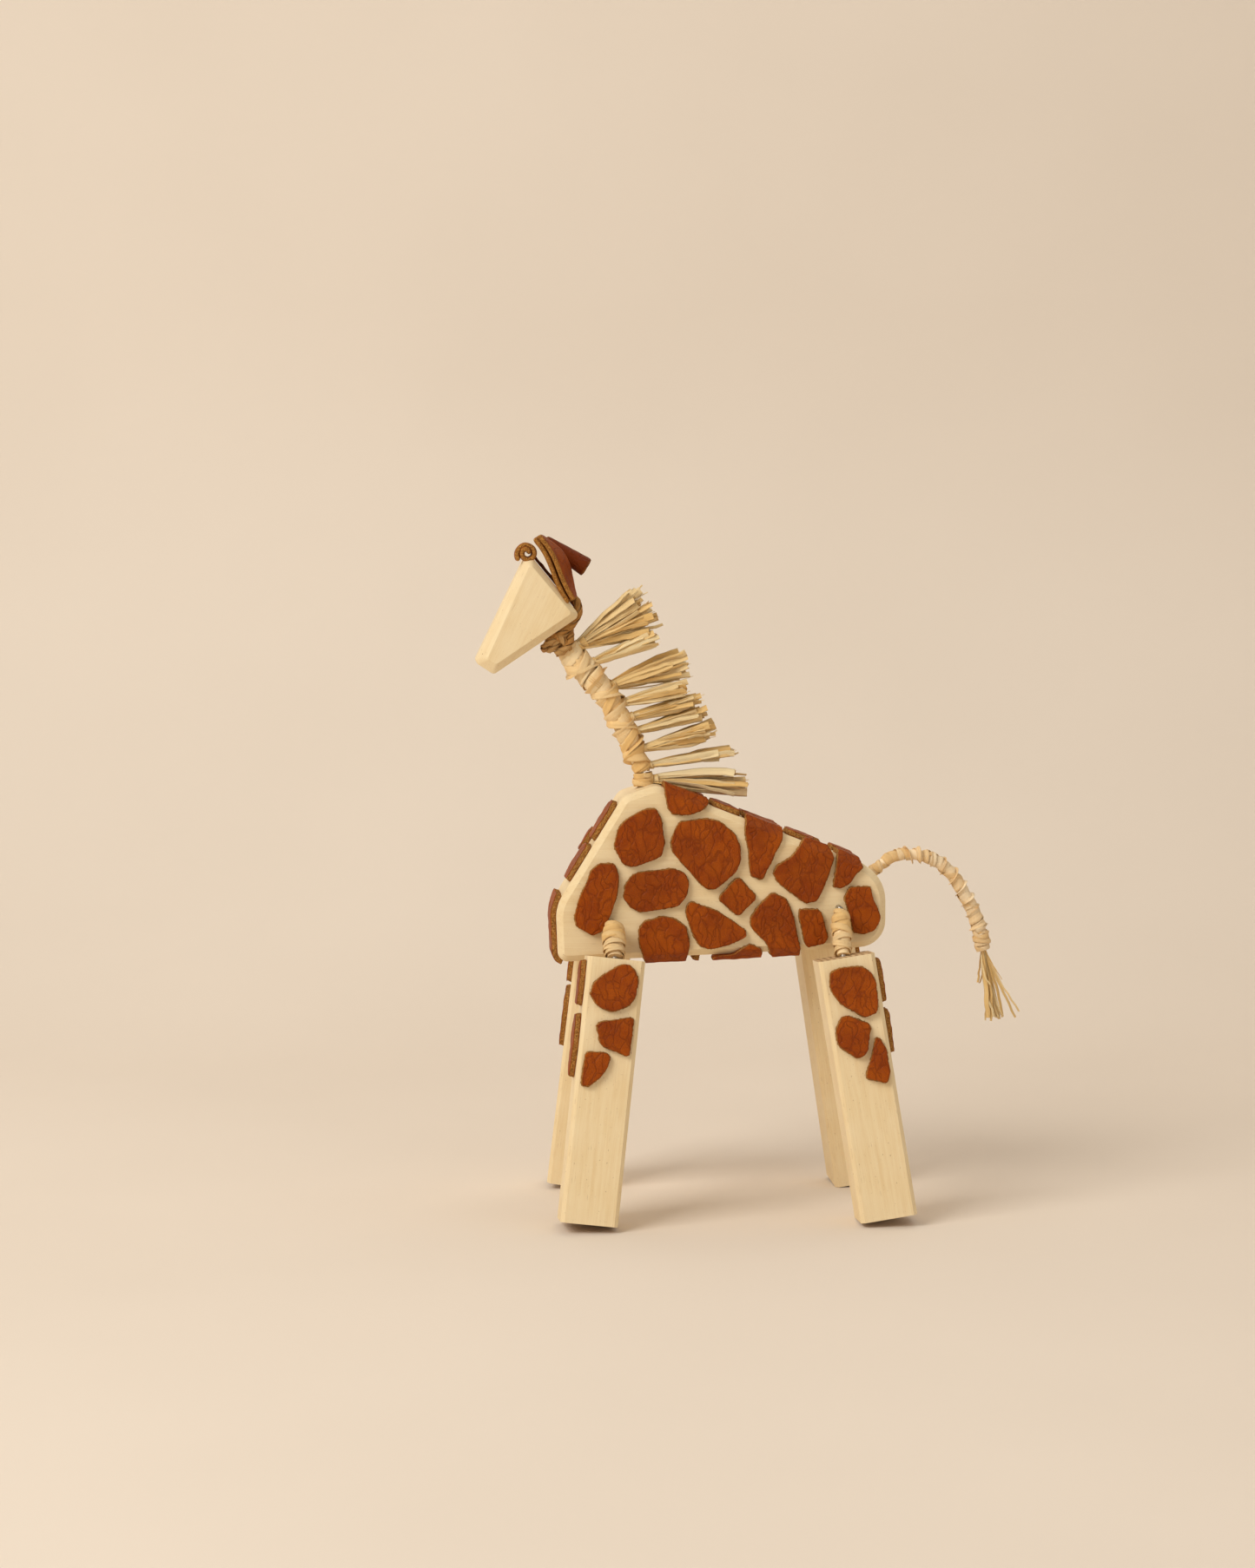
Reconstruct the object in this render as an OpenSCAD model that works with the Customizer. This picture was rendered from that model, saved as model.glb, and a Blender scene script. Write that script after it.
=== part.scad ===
// Small giraffe figure: a bevelled plank body, four square bar legs hung on wire, a wedge head on a
// raffia-wound wire neck, a raffia tail and mane, and leather spots and ears.
// The head points along -X, the giraffe's left side is -Y, and Z = 0 is the surface it stands on.

/* [Body] */
// Thickness of the plank body
body_t = 28; // [26:0.5:30]
// Width of the bevel round the edges of the body
body_bevel = 2.2; // [1.5:0.1:2.8]

/* [Head] */
// Thickness of the head wedge
head_t = 20; // [17:0.5:23]
// Depth of the bevel round the two cheeks
head_bevel = 2.6; // [1.5:0.1:3.5]

/* [Legs] */
// Width and depth of the square leg bars
leg_w = 19; // [17:0.5:20]
// Bevel along the four long edges of a leg
leg_bevel = 1.3; // [0.8:0.1:2]
// Height of the middle of a leg's top end
leg_top = 88.6; // [86:0.2:90]
// Distance from the middle of the body to the middle of a leg's top end
leg_y = 26.2; // [25.8:0.2:28]
// Slope of the front legs, feet towards the head
front_tilt = 6.5; // [4:0.5:9]
// Slope of the rear legs, feet towards the tail
rear_tilt = 9; // [6:0.5:11]
// Outward lean of the front legs
front_splay = 7; // [3:0.5:9]
// Outward lean of the rear legs
rear_splay = 5; // [3:0.5:9]

/* [Wire and raffia] */
// Diameter of all the wire
wire_d = 2; // [1.6:0.1:2.2]
// Diameter of the raffia wound round the neck
neck_d = 7; // [6:0.2:7.4]
// Diameter of the raffia wound round the tail
tail_d = 4.2; // [3.8:0.1:4.6]

/* [Leather] */
// Thickness of the leather
hide_t = 2; // [1.4:0.1:2.2]

/* [Hidden] */
$fn = 48;

wood_c = "wheat";
hide_c = "saddlebrown";
raffia_c = "burlywood";
wire_c = "silver";

left = -1;                       // sign of Y on the giraffe's left side
right = 1;
half_t = body_t / 2;
wire_r = wire_d / 2;
bore_r = wire_r + 0.05;          // running fit of the wire in the wood
corner_run = tan(22.5);          // how far a 45 degree corner moves along its sides when it is offset

// ---- outlines in the XZ plane, each point with its corner radius ----
body_corners = [
    [-66.2, 85.7, 3.5], [-66.9, 104.5, 14], [-44.2, 141.6, 5], [-33, 145.3, 6],
    [44.8, 115.1, 14], [44.8, 90.2, 9]
];
head_corners = [[-75.9, 223.4, 2.2], [-58.3, 202, 2], [-87.4, 182.4, 1.6], [-93.8, 186.6, 1.8]];
cheek_corners = [[-75.2, 219.4, 1], [-61.3, 202.9, 1], [-86.6, 185.9, 1], [-89.6, 187.8, 1]];

// Straight lines of the body's outline: a point on each, and its slope
back_slope = atan2(body_corners[3].y - body_corners[4].y, body_corners[4].x - body_corners[3].x);
back_start = [31.5, body_corners[4].y + (body_corners[4].x - 31.5) * tan(back_slope)];
belly_slope = atan2(body_corners[5].y - body_corners[0].y, body_corners[5].x - body_corners[0].x);
belly_start = [-62, body_corners[0].y + (-62 - body_corners[0].x) * tan(belly_slope)];
chest_slope = atan2(body_corners[2].y - body_corners[1].y, body_corners[2].x - body_corners[1].x);
chest_start = [body_corners[1].x, body_corners[1].y];

// ---- hips ----
front_leg_x = -48;
rear_leg_x = 28.5;
front_hip_z = 99.2;              // height of the bore for the front hip wire
rear_hip_z = 103.5;
elbow_y = half_t + 3.5;          // where a hip wire bends down
leg_hole_depth = 14;

// ---- neck, head and tail centrelines: [x, z], round numbers ----
neck_pivot = [-36.5, 149];
head_pivot = [-62.5, 191];
neck_path = [
    neck_pivot, [-38.5, 153.5], [-41, 159], [-43.5, 165], [-46.5, 171],
    [-50, 176.5], [-54.5, 181.7], [-59, 186.2], head_pivot
];
neck_root_len = 20;
head_wire_dir = [-0.56, 0.83];
tail_centre = [30.8, 105.4];     // centre of the rump's round corner
tail_dir = [0.78, 0.62];
rump_r = 14;
tail_pivot = tail_centre + (rump_r + 4.6) * tail_dir;
tail_path = [
    tail_pivot, [48.5, 119.2], [52, 120.1], [56, 120.1], [60, 119.4], [64, 117.8], [67.5, 115.2],
    [70.5, 111.6], [73, 107.8], [75.3, 103.5], [77.3, 99.3], [78.8, 95.3], [79.6, 92.4]
];

// Mane tufts: [x, z on the neck's centreline], [x, z of the middle of the tips], half height, half width
tufts = [
    [[-61.5, 190.5], [-34.5, 205.5], 8.5, 6],
    [[-57, 184.6], [-32.5, 194.6], 2.2, 4.5],
    [[-50.5, 177.2], [-22.5, 185.4], 4.2, 5.5],
    [[-47, 171.6], [-21.8, 177.4], 2.2, 5],
    [[-44.5, 166.6], [-17.6, 173.6], 1.7, 5],
    [[-43, 162], [-15.8, 168.8], 1.6, 5],
    [[-40.5, 156], [-13, 162.8], 3, 5.5],
    [[-38.5, 150.6], [-5.9, 155.4], 1.3, 4.5],
    [[-36.5, 146.4], [-2, 145], 4.2, 5.5]
];

// Flat spots of one flank: [x, z]
flank_spots = [
    [[-33, 138], [-31, 133.5], [-30, 126], [-31, 121.5], [-34, 119.8], [-41, 117.4], [-45, 118.6],
     [-48, 125], [-46.6, 131.2], [-43.4, 134.6], [-37.6, 137.8]],
    [[-52.4, 119.8], [-47, 119.6], [-45.4, 115.3], [-46.2, 108], [-48.6, 100.8], [-51.4, 95.8],
     [-54.8, 94.4], [-60.4, 97.6], [-61.2, 101], [-60, 106.6], [-56.6, 114], [-55.4, 117.4]],
    [[-39.4, 116.6], [-27.2, 117.8], [-23.2, 116.2], [-21.6, 112.4], [-22.6, 107.8], [-25.4, 104.2],
     [-38.4, 102.2], [-42.1, 103.8], [-45, 107.3], [-44.3, 112], [-42, 115.4]],
    [[-25.8, 133.6], [-16.8, 134.6], [-11.8, 133.6], [-6.6, 129.4], [-4.4, 124.4], [-4.4, 119.8],
     [-5.9, 115.6], [-13.2, 109.6], [-17, 110], [-28.2, 122.4], [-28.9, 126.6], [-27.6, 130.5]],
    [[-22, 106.8], [-12, 103], [-2.4, 96.3], [-2.4, 93.9], [-8.7, 90.9], [-15.3, 89.5], [-18.7, 90.7],
     [-21.3, 95], [-23.8, 102.2], [-23.6, 104.7]],
    [[-5.6, 115.4], [1.6, 107.3], [-5.6, 100.2], [-13.4, 107.1]],
    [[14, 103.8], [22.4, 103.8], [25.2, 93.6], [23.8, 91.2], [16.8, 89.8]],
    [[31.8, 111.2], [39.4, 111.4], [40.4, 107], [43.4, 100.2], [41.1, 95.6], [36.9, 94.2], [33.2, 94.8],
     [31.8, 100.8], [29.8, 107.2]]
];
// Spots that turn over the back: outline, and how far from the middle they end on top
over_back_spots = [
    [[[-31, 148], [-15.2, 142], [-15.2, 139], [-17.6, 136.5], [-22.4, 134.9], [-27.9, 135.4],
      [-29.8, 137.7], [-30.6, 141.8]], 3],
    [[[-2.8, 138], [9.8, 133], [9.8, 127.6], [6.3, 120.3], [2.8, 112.8], [-1.9, 114.2],
      [-2.6, 123.2], [-3.8, 130.2]], 2],
    [[[17.4, 128], [23.6, 127], [27.4, 121.5], [25.8, 115.5], [21.5, 105.5], [16.9, 104.6],
      [7, 112.6], [5.5, 115.5], [7.1, 118.3], [12.2, 121.5]], 10.4],
    [[[28.4, 125], [35.6, 121], [37.2, 117.2], [34.6, 115.1], [32.5, 111.7], [29.2, 109.8],
      [26.1, 110.5], [26.8, 115.3]], 3]
];
// Spots that turn under the belly, written the same way
under_belly_spots = [
    [[[-37.8, 99.9], [-31.1, 101.7], [-27.2, 101], [-22.8, 97.7], [-21.6, 91.9], [-23, 83],
      [-36, 82], [-39.6, 92], [-39.6, 96.9]], 6],
    [[[5.9, 109.6], [10.8, 107.3], [13.4, 101.3], [14.6, 95.4], [16, 89.8], [16, 83],
      [8, 82], [3.9, 91.4], [-1.8, 97.1], [-2.1, 100.6], [0.7, 104.6]], 6],
    [[[-17, 82], [3, 82], [3, 89.8], [-1.5, 92], [-4.7, 90.2], [-7, 88.2], [-13.5, 87.6]], 5]
];
// Spots of one outer leg face: [x, z] from the middle of the leg's top edge
front_leg_spots = [
    [[1.8, -1.1], [4.3, -1.1], [6.7, -3], [8.3, -6.4], [7.8, -11.8], [5.8, -15.5], [0, -18.1], [-4.9, -16.7],
     [-8.4, -12.9], [-7.5, -8.6], [-4.2, -5.1]],
    [[-5.4, -21.4], [7.9, -17.9], [8, -24.4], [7.6, -32.4], [-3.1, -29.3]],
    [[-7.8, -31.1], [0, -30.5], [1.5, -32.2], [0.9, -35.8], [-1.2, -39.6], [-5.1, -43], [-8.1, -43]]
];
rear_leg_spots = [
    [[-6.9, -3.7], [-3.5, -2.5], [3.1, -2.8], [5.2, -3.7], [7.8, -6.1], [8.5, -9.2], [8.3, -14.8], [7.2, -20],
     [4.4, -20.9], [2, -20.8], [0, -18.9], [-4.9, -15.1], [-7.4, -10.7], [-7.7, -8.4]],
    [[-5.4, -18.6], [-2.9, -18.3], [1.4, -20.9], [4, -22.3], [4.4, -23.9], [2.3, -31.7], [0.9, -33.4],
     [-2.1, -34.1], [-8, -28.5], [-8.4, -25.9], [-7.9, -22.6]],
    [[4.9, -26.8], [6.8, -27.7], [8.4, -32], [8.3, -40.3], [6.5, -43.8], [-0.5, -40.8], [0.2, -37.6],
     [2.1, -33.8]]
];
// Spots of a narrow leg face: [y, z], with y counted towards the middle of the body
front_face_spots = [
    [[-5.6, -1], [5, -1.4], [6.6, -8], [4.4, -16.4], [-4.6, -17.2], [-6.4, -9]],
    [[-6.6, -18.6], [3.8, -19.4], [6.2, -27], [2.4, -40], [-3, -41], [-7.4, -30]]
];
back_face_spots = [
    [[-5.8, -2], [5.2, -1.6], [6.6, -9], [4.6, -17], [-4.4, -17.4], [-7, -9]],
    [[-6.2, -19], [4.4, -18.6], [6.4, -26], [4, -34.4], [-4.2, -34.6], [-7, -26]]
];

// ---- functions ----
function unit(v) = v / norm(v);
// Turns an angle into the range -180 to 180
function half_turn(a) = a - 360 * round(a / 360);
// The points of one rounded corner at p, between the neighbours a and b
function corner(a, p, b, r, n = 8) =
    let (u = unit(a - p), v = unit(b - p), h = acos(u * v) / 2)
    let (c = p + unit(u + v) * r / sin(h), s = p + u * r / tan(h) - c, e = p + v * r / tan(h) - c)
    let (a0 = atan2(s.y, s.x), sweep = half_turn(atan2(e.y, e.x) - a0))
    [for (i = [0:n]) c + r * [cos(a0 + sweep * i / n), sin(a0 + sweep * i / n)]];
function xy(p) = [p.x, p.y];
// A closed outline from corners with radii
function rounded(list) =
    let (n = len(list))
    [for (i = [0:n - 1]) each corner(xy(list[(i + n - 1) % n]), xy(list[i]), xy(list[(i + 1) % n]), list[i].z)];
// Cuts every corner of a closed outline once, a little
function soften(p) = [for (i = [0:len(p) - 1], w = [0.12, 0.88]) p[i] * (1 - w) + p[(i + 1) % len(p)] * w];
// A point of a smooth curve through four points
function between(a, b, c, d, t) =
    0.5 * (2 * b + (c - a) * t + (2 * a - 5 * b + 4 * c - d) * t * t + (3 * b - a - 3 * c + d) * t * t * t);
// A smooth curve through all the points, with k steps between two points
function curve(p, k) =
    let (n = len(p), q = concat([2 * p[0] - p[1]], p, [2 * p[n - 1] - p[n - 2]]))
    concat([for (i = [1:n - 1], j = [0:k - 1]) between(q[i - 1], q[i], q[i + 1], q[i + 2], j / k)], [p[n - 1]]);
// The direction across an XZ path at its point i
function across(p, i) =
    let (t = unit(p[min(i + 1, len(p) - 1)] - p[max(i - 1, 0)])) [t.y, -t.x];
// One ring of k points round an XZ path, at point i and radius r
function ring(p, i, r, k) =
    let (m = across(p, i))
    [for (j = [0:k - 1]) [p[i].x + r * cos(360 * j / k) * m.x, r * sin(360 * j / k), p[i].y + r * cos(360 * j / k) * m.y]];
// The skin between two stacked sets of rings, n rings of k points, first point at o
function skin(n, k, o) =
    [for (i = [0:n - 2], j = [0:k - 1], s = [0, 1])
        let (a = o + i * k + j, b = o + i * k + (j + 1) % k)
        s == 0 ? [a, b, b + k] : [a, b + k, a + k]];
// A closed outline moved inwards by d
function drawn_in(p, d) = let (n = len(p)) [for (i = [0:n - 1])
    let (t = unit(p[(i + 1) % n] - p[(i + n - 1) % n])) p[i] + [t.y, -t.x] * d * turn_sign(p)];
// +1 for a clockwise outline, -1 for an anticlockwise one
function turn_sign(p) = let (n = len(p), a = [for (i = [0:n - 1]) cross(p[i], p[(i + 1) % n])])
    a * [for (x = a) 1] > 0 ? -1 : 1;
// Turns every face over
function turned(f) = [for (t = f) [t[2], t[1], t[0]]];
// The height of a leg's lowest corner for a leg of length 0, below the middle of its top end
function low_corner(tilt, splay, twist) =
    let (k = leg_w / 2 - leg_bevel, h = leg_w / 2)
    min([for (p = [[h, k], [h, -k], [-h, k], [-h, -k], [k, h], [k, -h], [-k, h], [-k, -h]])
        let (x = p.x * cos(twist) - p.y * sin(twist), y = p.x * sin(twist) + p.y * cos(twist))
        -sin(tilt) * x + cos(tilt) * sin(splay) * y]);
// The length that puts a leg's lowest corner on the surface
function leg_length(tilt, splay, twist) = (leg_top + low_corner(tilt, splay, twist)) / (cos(tilt) * cos(splay));

// ---- helpers ----
// Draws an XZ outline as a plate from y = -t to y = 0
module plate(outline, t) {
    rotate([90, 0, 0]) linear_extrude(t) polygon(outline);
}

// Draws a YZ outline as a plate from x = 0 to x = t
module side_plate(outline, t) {
    rotate([90, 0, 90]) linear_extrude(t) polygon(outline);
}

// A bent tube with wall, along an XZ path; radii are listed for each point
module wound_tube(path, radii, hole_r, k = 12, hole_k = 8) {
    n = len(path);
    outer = [for (i = [0:n - 1]) each ring(path, i, radii[i], k)];
    inner = [for (i = [0:n - 1]) each ring(path, i, hole_r, hole_k)];
    o = n * k;
    // each end is closed by triangles between the outer ring and the hole
    ends = [for (e = [0, n - 1], j = [0:k - 1])
        let (a = e * k + j, b = e * k + (j + 1) % k, c = o + e * hole_k + round(j * hole_k / k) % hole_k,
             d = o + e * hole_k + round((j + 1) * hole_k / k) % hole_k)
        each (c == d ? [e == 0 ? [c, b, a] : [a, b, c]]
                     : [e == 0 ? [d, b, a] : [a, b, d], e == 0 ? [d, a, c] : [c, a, d]])];
    polyhedron(concat(outer, inner), concat(skin(n, k, 0), turned(skin(n, hole_k, o)), ends));
}

// A bent rod along an XZ path
module bent_rod(path, r, k = 8) {
    n = len(path);
    caps = concat([for (j = [1:k - 2]) [0, j + 1, j]], [for (j = [1:k - 2]) [(n - 1) * k, (n - 1) * k + j, (n - 1) * k + j + 1]]);
    polyhedron([for (i = [0:n - 1]) each ring(path, i, r, k)], concat(skin(n, k, 0), caps));
}

// Puts children, drawn along +Z, at an XZ point and along an XZ direction
module along(p, d) {
    translate([p.x, 0, p.y]) rotate([0, atan2(d.x, d.y), 0]) children();
}

// A leg's own frame: origin at the middle of its top end, -Z down the leg
module in_leg(x, side, tilt, splay, twist) {
    translate([x, side * leg_y, leg_top]) rotate([side * splay, tilt, 0]) rotate([0, 0, twist]) children();
}

module in_front_leg(side) {
    in_leg(front_leg_x, side, front_tilt, front_splay, side == right ? -6 : 0) children();
}

module in_rear_leg(side) {
    in_leg(rear_leg_x, side, -rear_tilt, rear_splay, side == right ? 2 : 0) children();
}

// Puts children at the point where a hip wire bends, along the slanting stretch to the leg
module on_hip(x, z, side) {
    translate([x, side * elbow_y, z])
        rotate([side * atan2(leg_y - elbow_y, z - leg_top), 0, 0]) children();
}

function hip_run(z) = norm([leg_y - elbow_y, z - leg_top]);

// The whole path of a hip wire with radius r: through the body, out, down and into both legs
module hip_path(x, z, r, tilt, splay) {
    lap = 0.4;
    translate([x, elbow_y + lap, z]) rotate([90, 0, 0]) cylinder(h = 2 * (elbow_y + lap), r = r);
    for (side = [left, right]) {
        on_hip(x, z, side) translate([0, 0, -hip_run(z) - lap]) cylinder(h = hip_run(z) + 2 * lap, r = r - 0.02);
        translate([x, side * leg_y, leg_top]) rotate([side * splay, tilt, 0])
            translate([0, 0, 1 - leg_hole_depth]) cylinder(h = leg_hole_depth - 1 + lap, r = r);
    }
}

// ---- wood ----
module body_block() {
    side_line = rounded(body_corners);
    color(wood_c) difference() {
        hull() {
            translate([0, half_t - body_bevel, 0]) plate(side_line, body_t - 2 * body_bevel);
            translate([0, half_t, 0]) plate(drawn_in(side_line, body_bevel), body_t);
        }
        translate([front_leg_x, half_t + 1, front_hip_z]) rotate([90, 0, 0]) cylinder(h = body_t + 2, r = bore_r);
        translate([rear_leg_x, half_t + 1, rear_hip_z]) rotate([90, 0, 0]) cylinder(h = body_t + 2, r = bore_r);
        translate([neck_pivot.x, 0, neck_pivot.y - 1.4 - neck_root_len - 0.5])
            cylinder(h = neck_root_len + 5, r = bore_r);
        along(tail_centre, tail_dir) translate([0, 0, 2]) cylinder(h = rump_r + 1, r = bore_r);
    }
}

module head_block() {
    color(wood_c) difference() {
        hull() {
            translate([0, head_t / 2 - head_bevel, 0]) plate(rounded(head_corners), head_t - 2 * head_bevel);
            translate([0, head_t / 2, 0]) plate(rounded(cheek_corners), head_t);
        }
        along(head_pivot, head_wire_dir) cylinder(h = 21.5, r = bore_r);
    }
}

module leg_bar(length) {
    h = leg_w / 2;
    k = h - leg_bevel;
    translate([0, 0, -length]) linear_extrude(length)
        polygon([[h, -k], [h, k], [k, h], [-k, h], [-h, k], [-h, -k], [-k, -h], [k, -h]]);
}

module front_leg(side) {
    color(wood_c) difference() {
        in_front_leg(side) leg_bar(leg_length(front_tilt, side * front_splay, side == right ? -6 : 0));
        hip_path(front_leg_x, front_hip_z, bore_r, front_tilt, front_splay);
    }
}

module rear_leg(side) {
    color(wood_c) difference() {
        in_rear_leg(side) leg_bar(leg_length(-rear_tilt, side * rear_splay, side == right ? 2 : 0));
        hip_path(rear_leg_x, rear_hip_z, bore_r, -rear_tilt, rear_splay);
    }
}

// ---- wire ----
module front_hip_wire() { color(wire_c) hip_path(front_leg_x, front_hip_z, wire_r, front_tilt, front_splay); }
module rear_hip_wire() { color(wire_c) hip_path(rear_leg_x, rear_hip_z, wire_r, -rear_tilt, rear_splay); }

module neck_root_wire() {
    color(wire_c) translate([neck_pivot.x, 0, neck_pivot.y - 1.4 - neck_root_len])
        cylinder(h = neck_root_len, r = wire_r);
}

module neck_wire() { color(wire_c) bent_rod(curve(neck_path, 2), wire_r); }
module head_wire() { color(wire_c) along(head_pivot, head_wire_dir) translate([0, 0, 1.4]) cylinder(h = 19.6, r = wire_r); }

module tail_root_wire() {
    color(wire_c) along(tail_centre, tail_dir) translate([0, 0, 2.5]) cylinder(h = rump_r + 0.7, r = wire_r);
}

module tail_wire() { color(wire_c) bent_rod(curve(tail_path, 2), wire_r); }

// ---- raffia ----
// Egg-shaped winding between the body and a leg
module hip_wrap(x, z, side, fat) {
    run = hip_run(z);
    color(raffia_c) on_hip(x, z, side) rotate_extrude()
        polygon([[wire_r + 0.1, -1.2], [wire_r + 1.1, -1.2], [fat - 0.7, -3.4], [fat, -5.6], [fat - 0.3, -8],
                 [fat - 1.2, -run + 3.6], [wire_r + 0.9, -run + 2.4], [wire_r + 0.1, -run + 2.4]]);
}

module neck_root_wrap() {
    color(raffia_c) translate([neck_pivot.x, 0, neck_pivot.y]) rotate_extrude()
        polygon([[wire_r + 0.1, -3.9], [3.2, -3.9], [3.5, -2.9], [3, -1.8], [wire_r + 0.1, -1.8]]);
}

module neck_wrap() {
    path = curve(neck_path, 2);
    last = len(path) - 1;
    radii = [for (i = [0:last]) i == 0 || i == last ? 2.5 : neck_d / 2 * (0.86 + 0.34 * i / last + 0.07 * cos(i * 140))];
    color(raffia_c) wound_tube(path, radii, wire_r + 0.15);
}

module head_wrap() {
    color(raffia_c) along(head_pivot, head_wire_dir) rotate_extrude()
        polygon([[wire_r + 0.1, 0.8], [2.8, 0.8], [4.5, 2.2], [4.7, 4.4], [3.6, 6.3], [wire_r + 0.1, 6.3]]);
}

// A tuft that fans out from the neck; every tuft is flat at its cut tips
module mane_tuft(i) {
    t = tufts[i - 1];
    d = unit(t[1] - t[0]);
    root = t[0] + d * (neck_d / 2 + 2.7);
    color(raffia_c) hull() {
        translate([root.x, 0, root.y]) sphere(1.1, $fn = 16);
        translate([t[1].x, 0, t[1].y]) rotate([0, -atan2(d.y, d.x), 0])
            translate([-0.6, 0, 0]) cube([1.2, 2 * t[3], 2 * t[2]], center = true);
    }
}

module tail_root_wrap() {
    color(raffia_c) along(tail_centre, tail_dir) rotate_extrude()
        polygon([[wire_r + 0.1, rump_r + 0.3], [2, rump_r + 0.3], [2.2, rump_r + 1.8], [1.9, rump_r + 3.8],
                 [wire_r + 0.1, rump_r + 3.8]]);
}

module tail_wrap() {
    path = curve(tail_path, 2);
    last = len(path) - 1;
    radii = [for (i = [0:last]) i == 0 ? 1.7 : tail_d / 2 * (1 + 0.05 * cos(i * 130))];
    color(raffia_c) wound_tube(path, radii, wire_r + 0.15, 10);
}

module tail_knot() {
    color(raffia_c) translate([80, 0, 89.6]) hull() {
        translate([0, 0, 0.6]) sphere(1.9, $fn = 20);
        scale([1, 1, 0.7]) sphere(3.1, $fn = 20);
    }
}

module tail_tuft() {
    color(raffia_c) hull() {
        translate([80.6, 0, 85.2]) sphere(1.4, $fn = 16);
        translate([86.9, 0, 62.6]) rotate([0, -14, 0]) cube([12.8, 6, 1.4], center = true);
    }
}

// ---- leather on the head ----
// A leaf folded over into a long loop that opens towards the left
module left_ear() {
    leaf = [[-59.8, 206.7], [-66.9, 215.2], [-73.7, 223.4], [-74.2, 226.6], [-73.2, 229.3], [-71.4, 229.9],
            [-69.2, 227.6], [-64.6, 220.2], [-61, 213], [-59.2, 208.2]];
    gap = [[-61.6, 209.2], [-68.6, 219.2], [-72.2, 227], [-71.5, 227.2], [-67.8, 219.6], [-61, 209.6]];
    color(hide_c) translate([0, -0.8, 0]) difference() {
        plate(soften(leaf), 8.6);
        translate([0, -2.4, 0]) plate(gap, 8);
    }
}

// A leaf rolled into a cone that opens towards the tail
module right_ear() {
    color(hide_c) translate([-69.2, 5, 226.6]) rotate([0, 122, 0]) difference() {
        cylinder(h = 16.5, r1 = 2.6, r2 = 3.9);
        translate([0, 0, -1]) cylinder(h = 18.5, r1 = 0.7, r2 = 2);
    }
}

// A strip bent over the crown of the head
module forelock_curl() {
    centre = [-76.2, 222];
    turns = [for (i = [0:9]) 215 - i * 16.3];
    outer = [for (a = turns) centre + 4 * [cos(a), sin(a)]];
    inner = [for (i = [9:-1:0]) centre + 2.2 * [cos(turns[i]), sin(turns[i])]];
    color(hide_c) translate([0, -0.9, 0]) plate(concat(outer, inner), 7.7);
}

module poll_strip() {
    color(hide_c) translate([0, 9, 0])
        plate([[-59.7, 204.5], [-73.7, 221.6], [-73.1, 222.2], [-59, 205.2]], 9.4);
}

// ---- leather spots ----
// The bent sheet that lies on a flank and turns over the edge above it, as a YZ outline
function edge_sheet(side, reach) = [for (p = [
        [reach, 0], [half_t - body_bevel, 0], [half_t, -body_bevel], [half_t, -40],
        [half_t + hide_t, -40], [half_t + hide_t, -body_bevel + corner_run * hide_t],
        [half_t - body_bevel + corner_run * hide_t, hide_t], [reach, hide_t]]) [side * p.x, p.y]];

module over_back(side, spot) {
    intersection() {
        translate([0, 20, 0]) plate(soften(spot[0]), 40);
        translate([back_start.x, 0, back_start.y]) rotate([0, back_slope, 0]) translate([-68, 0, 0])
            translate([0, 0, 0.02]) side_plate(edge_sheet(side, spot[1]), 75);
    }
}

module under_belly(side, spot) {
    intersection() {
        translate([0, 20, 0]) plate(soften(spot[0]), 40);
        translate([belly_start.x, 0, belly_start.y]) rotate([0, -belly_slope, 0])
            mirror([0, 0, 1]) translate([0, 0, 0.02]) side_plate(edge_sheet(side, spot[1]), 95);
    }
}

module side_spots(side) {
    color(hide_c) {
        for (s = flank_spots)
            translate([0, side == left ? -half_t : half_t + hide_t, 0]) plate(soften(s), hide_t);
        for (s = over_back_spots) over_back(side, s);
        for (s = under_belly_spots) under_belly(side, s);
    }
}

module on_back() {
    translate([back_start.x, 0, back_start.y + 0.02]) rotate([0, back_slope, 0]) children();
}

// Two spots that lie along the top of the back
module back_spots() {
    color(hide_c) on_back() {
        linear_extrude(hide_t) polygon(soften([[-49, -10.5], [-44, -11.5], [-38.8, -11.2], [-38.6, -2], [-40.4, 7],
                                               [-46, 11], [-49.6, 4]]));
        linear_extrude(hide_t) polygon(soften([[-21.9, -9.6], [-11.8, -9.8], [-11.2, 0], [-13, 8.6], [-19, 9.8],
                                               [-22.3, 2]]));
    }
}

// Flat spots up the chest and one long spot bent round its foot
module chest_spots() {
    side_line = rounded(body_corners);
    bent = [for (i = [2:17]) side_line[i]];
    n = len(bent);
    near = [for (i = [0:n - 1]) bent[i] - across(bent, i) * 0.03];
    far = [for (i = [n - 1:-1:0]) bent[i] - across(bent, i) * (0.03 + hide_t)];
    color(hide_c) {
        translate([chest_start.x - 0.02, 0, chest_start.y]) rotate([0, -chest_slope, 0]) {
            linear_extrude(hide_t) polygon(soften([[25.6, -11], [40, -11.4], [41, -4], [38, 3.4], [27, 3], [25, -4]]));
            linear_extrude(hide_t) polygon(soften([[9.4, -11.2], [23.6, -11.4], [24, -3], [22, 3.6], [11, 3.8], [8.8, -2]]));
            linear_extrude(hide_t) polygon(soften([[18.6, 5.2], [28, 4.6], [29.4, 8], [27, 11.4], [19.4, 11.2]]));
        }
        translate([0, 8, 0]) plate(concat(near, far), 19);
    }
}

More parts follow.
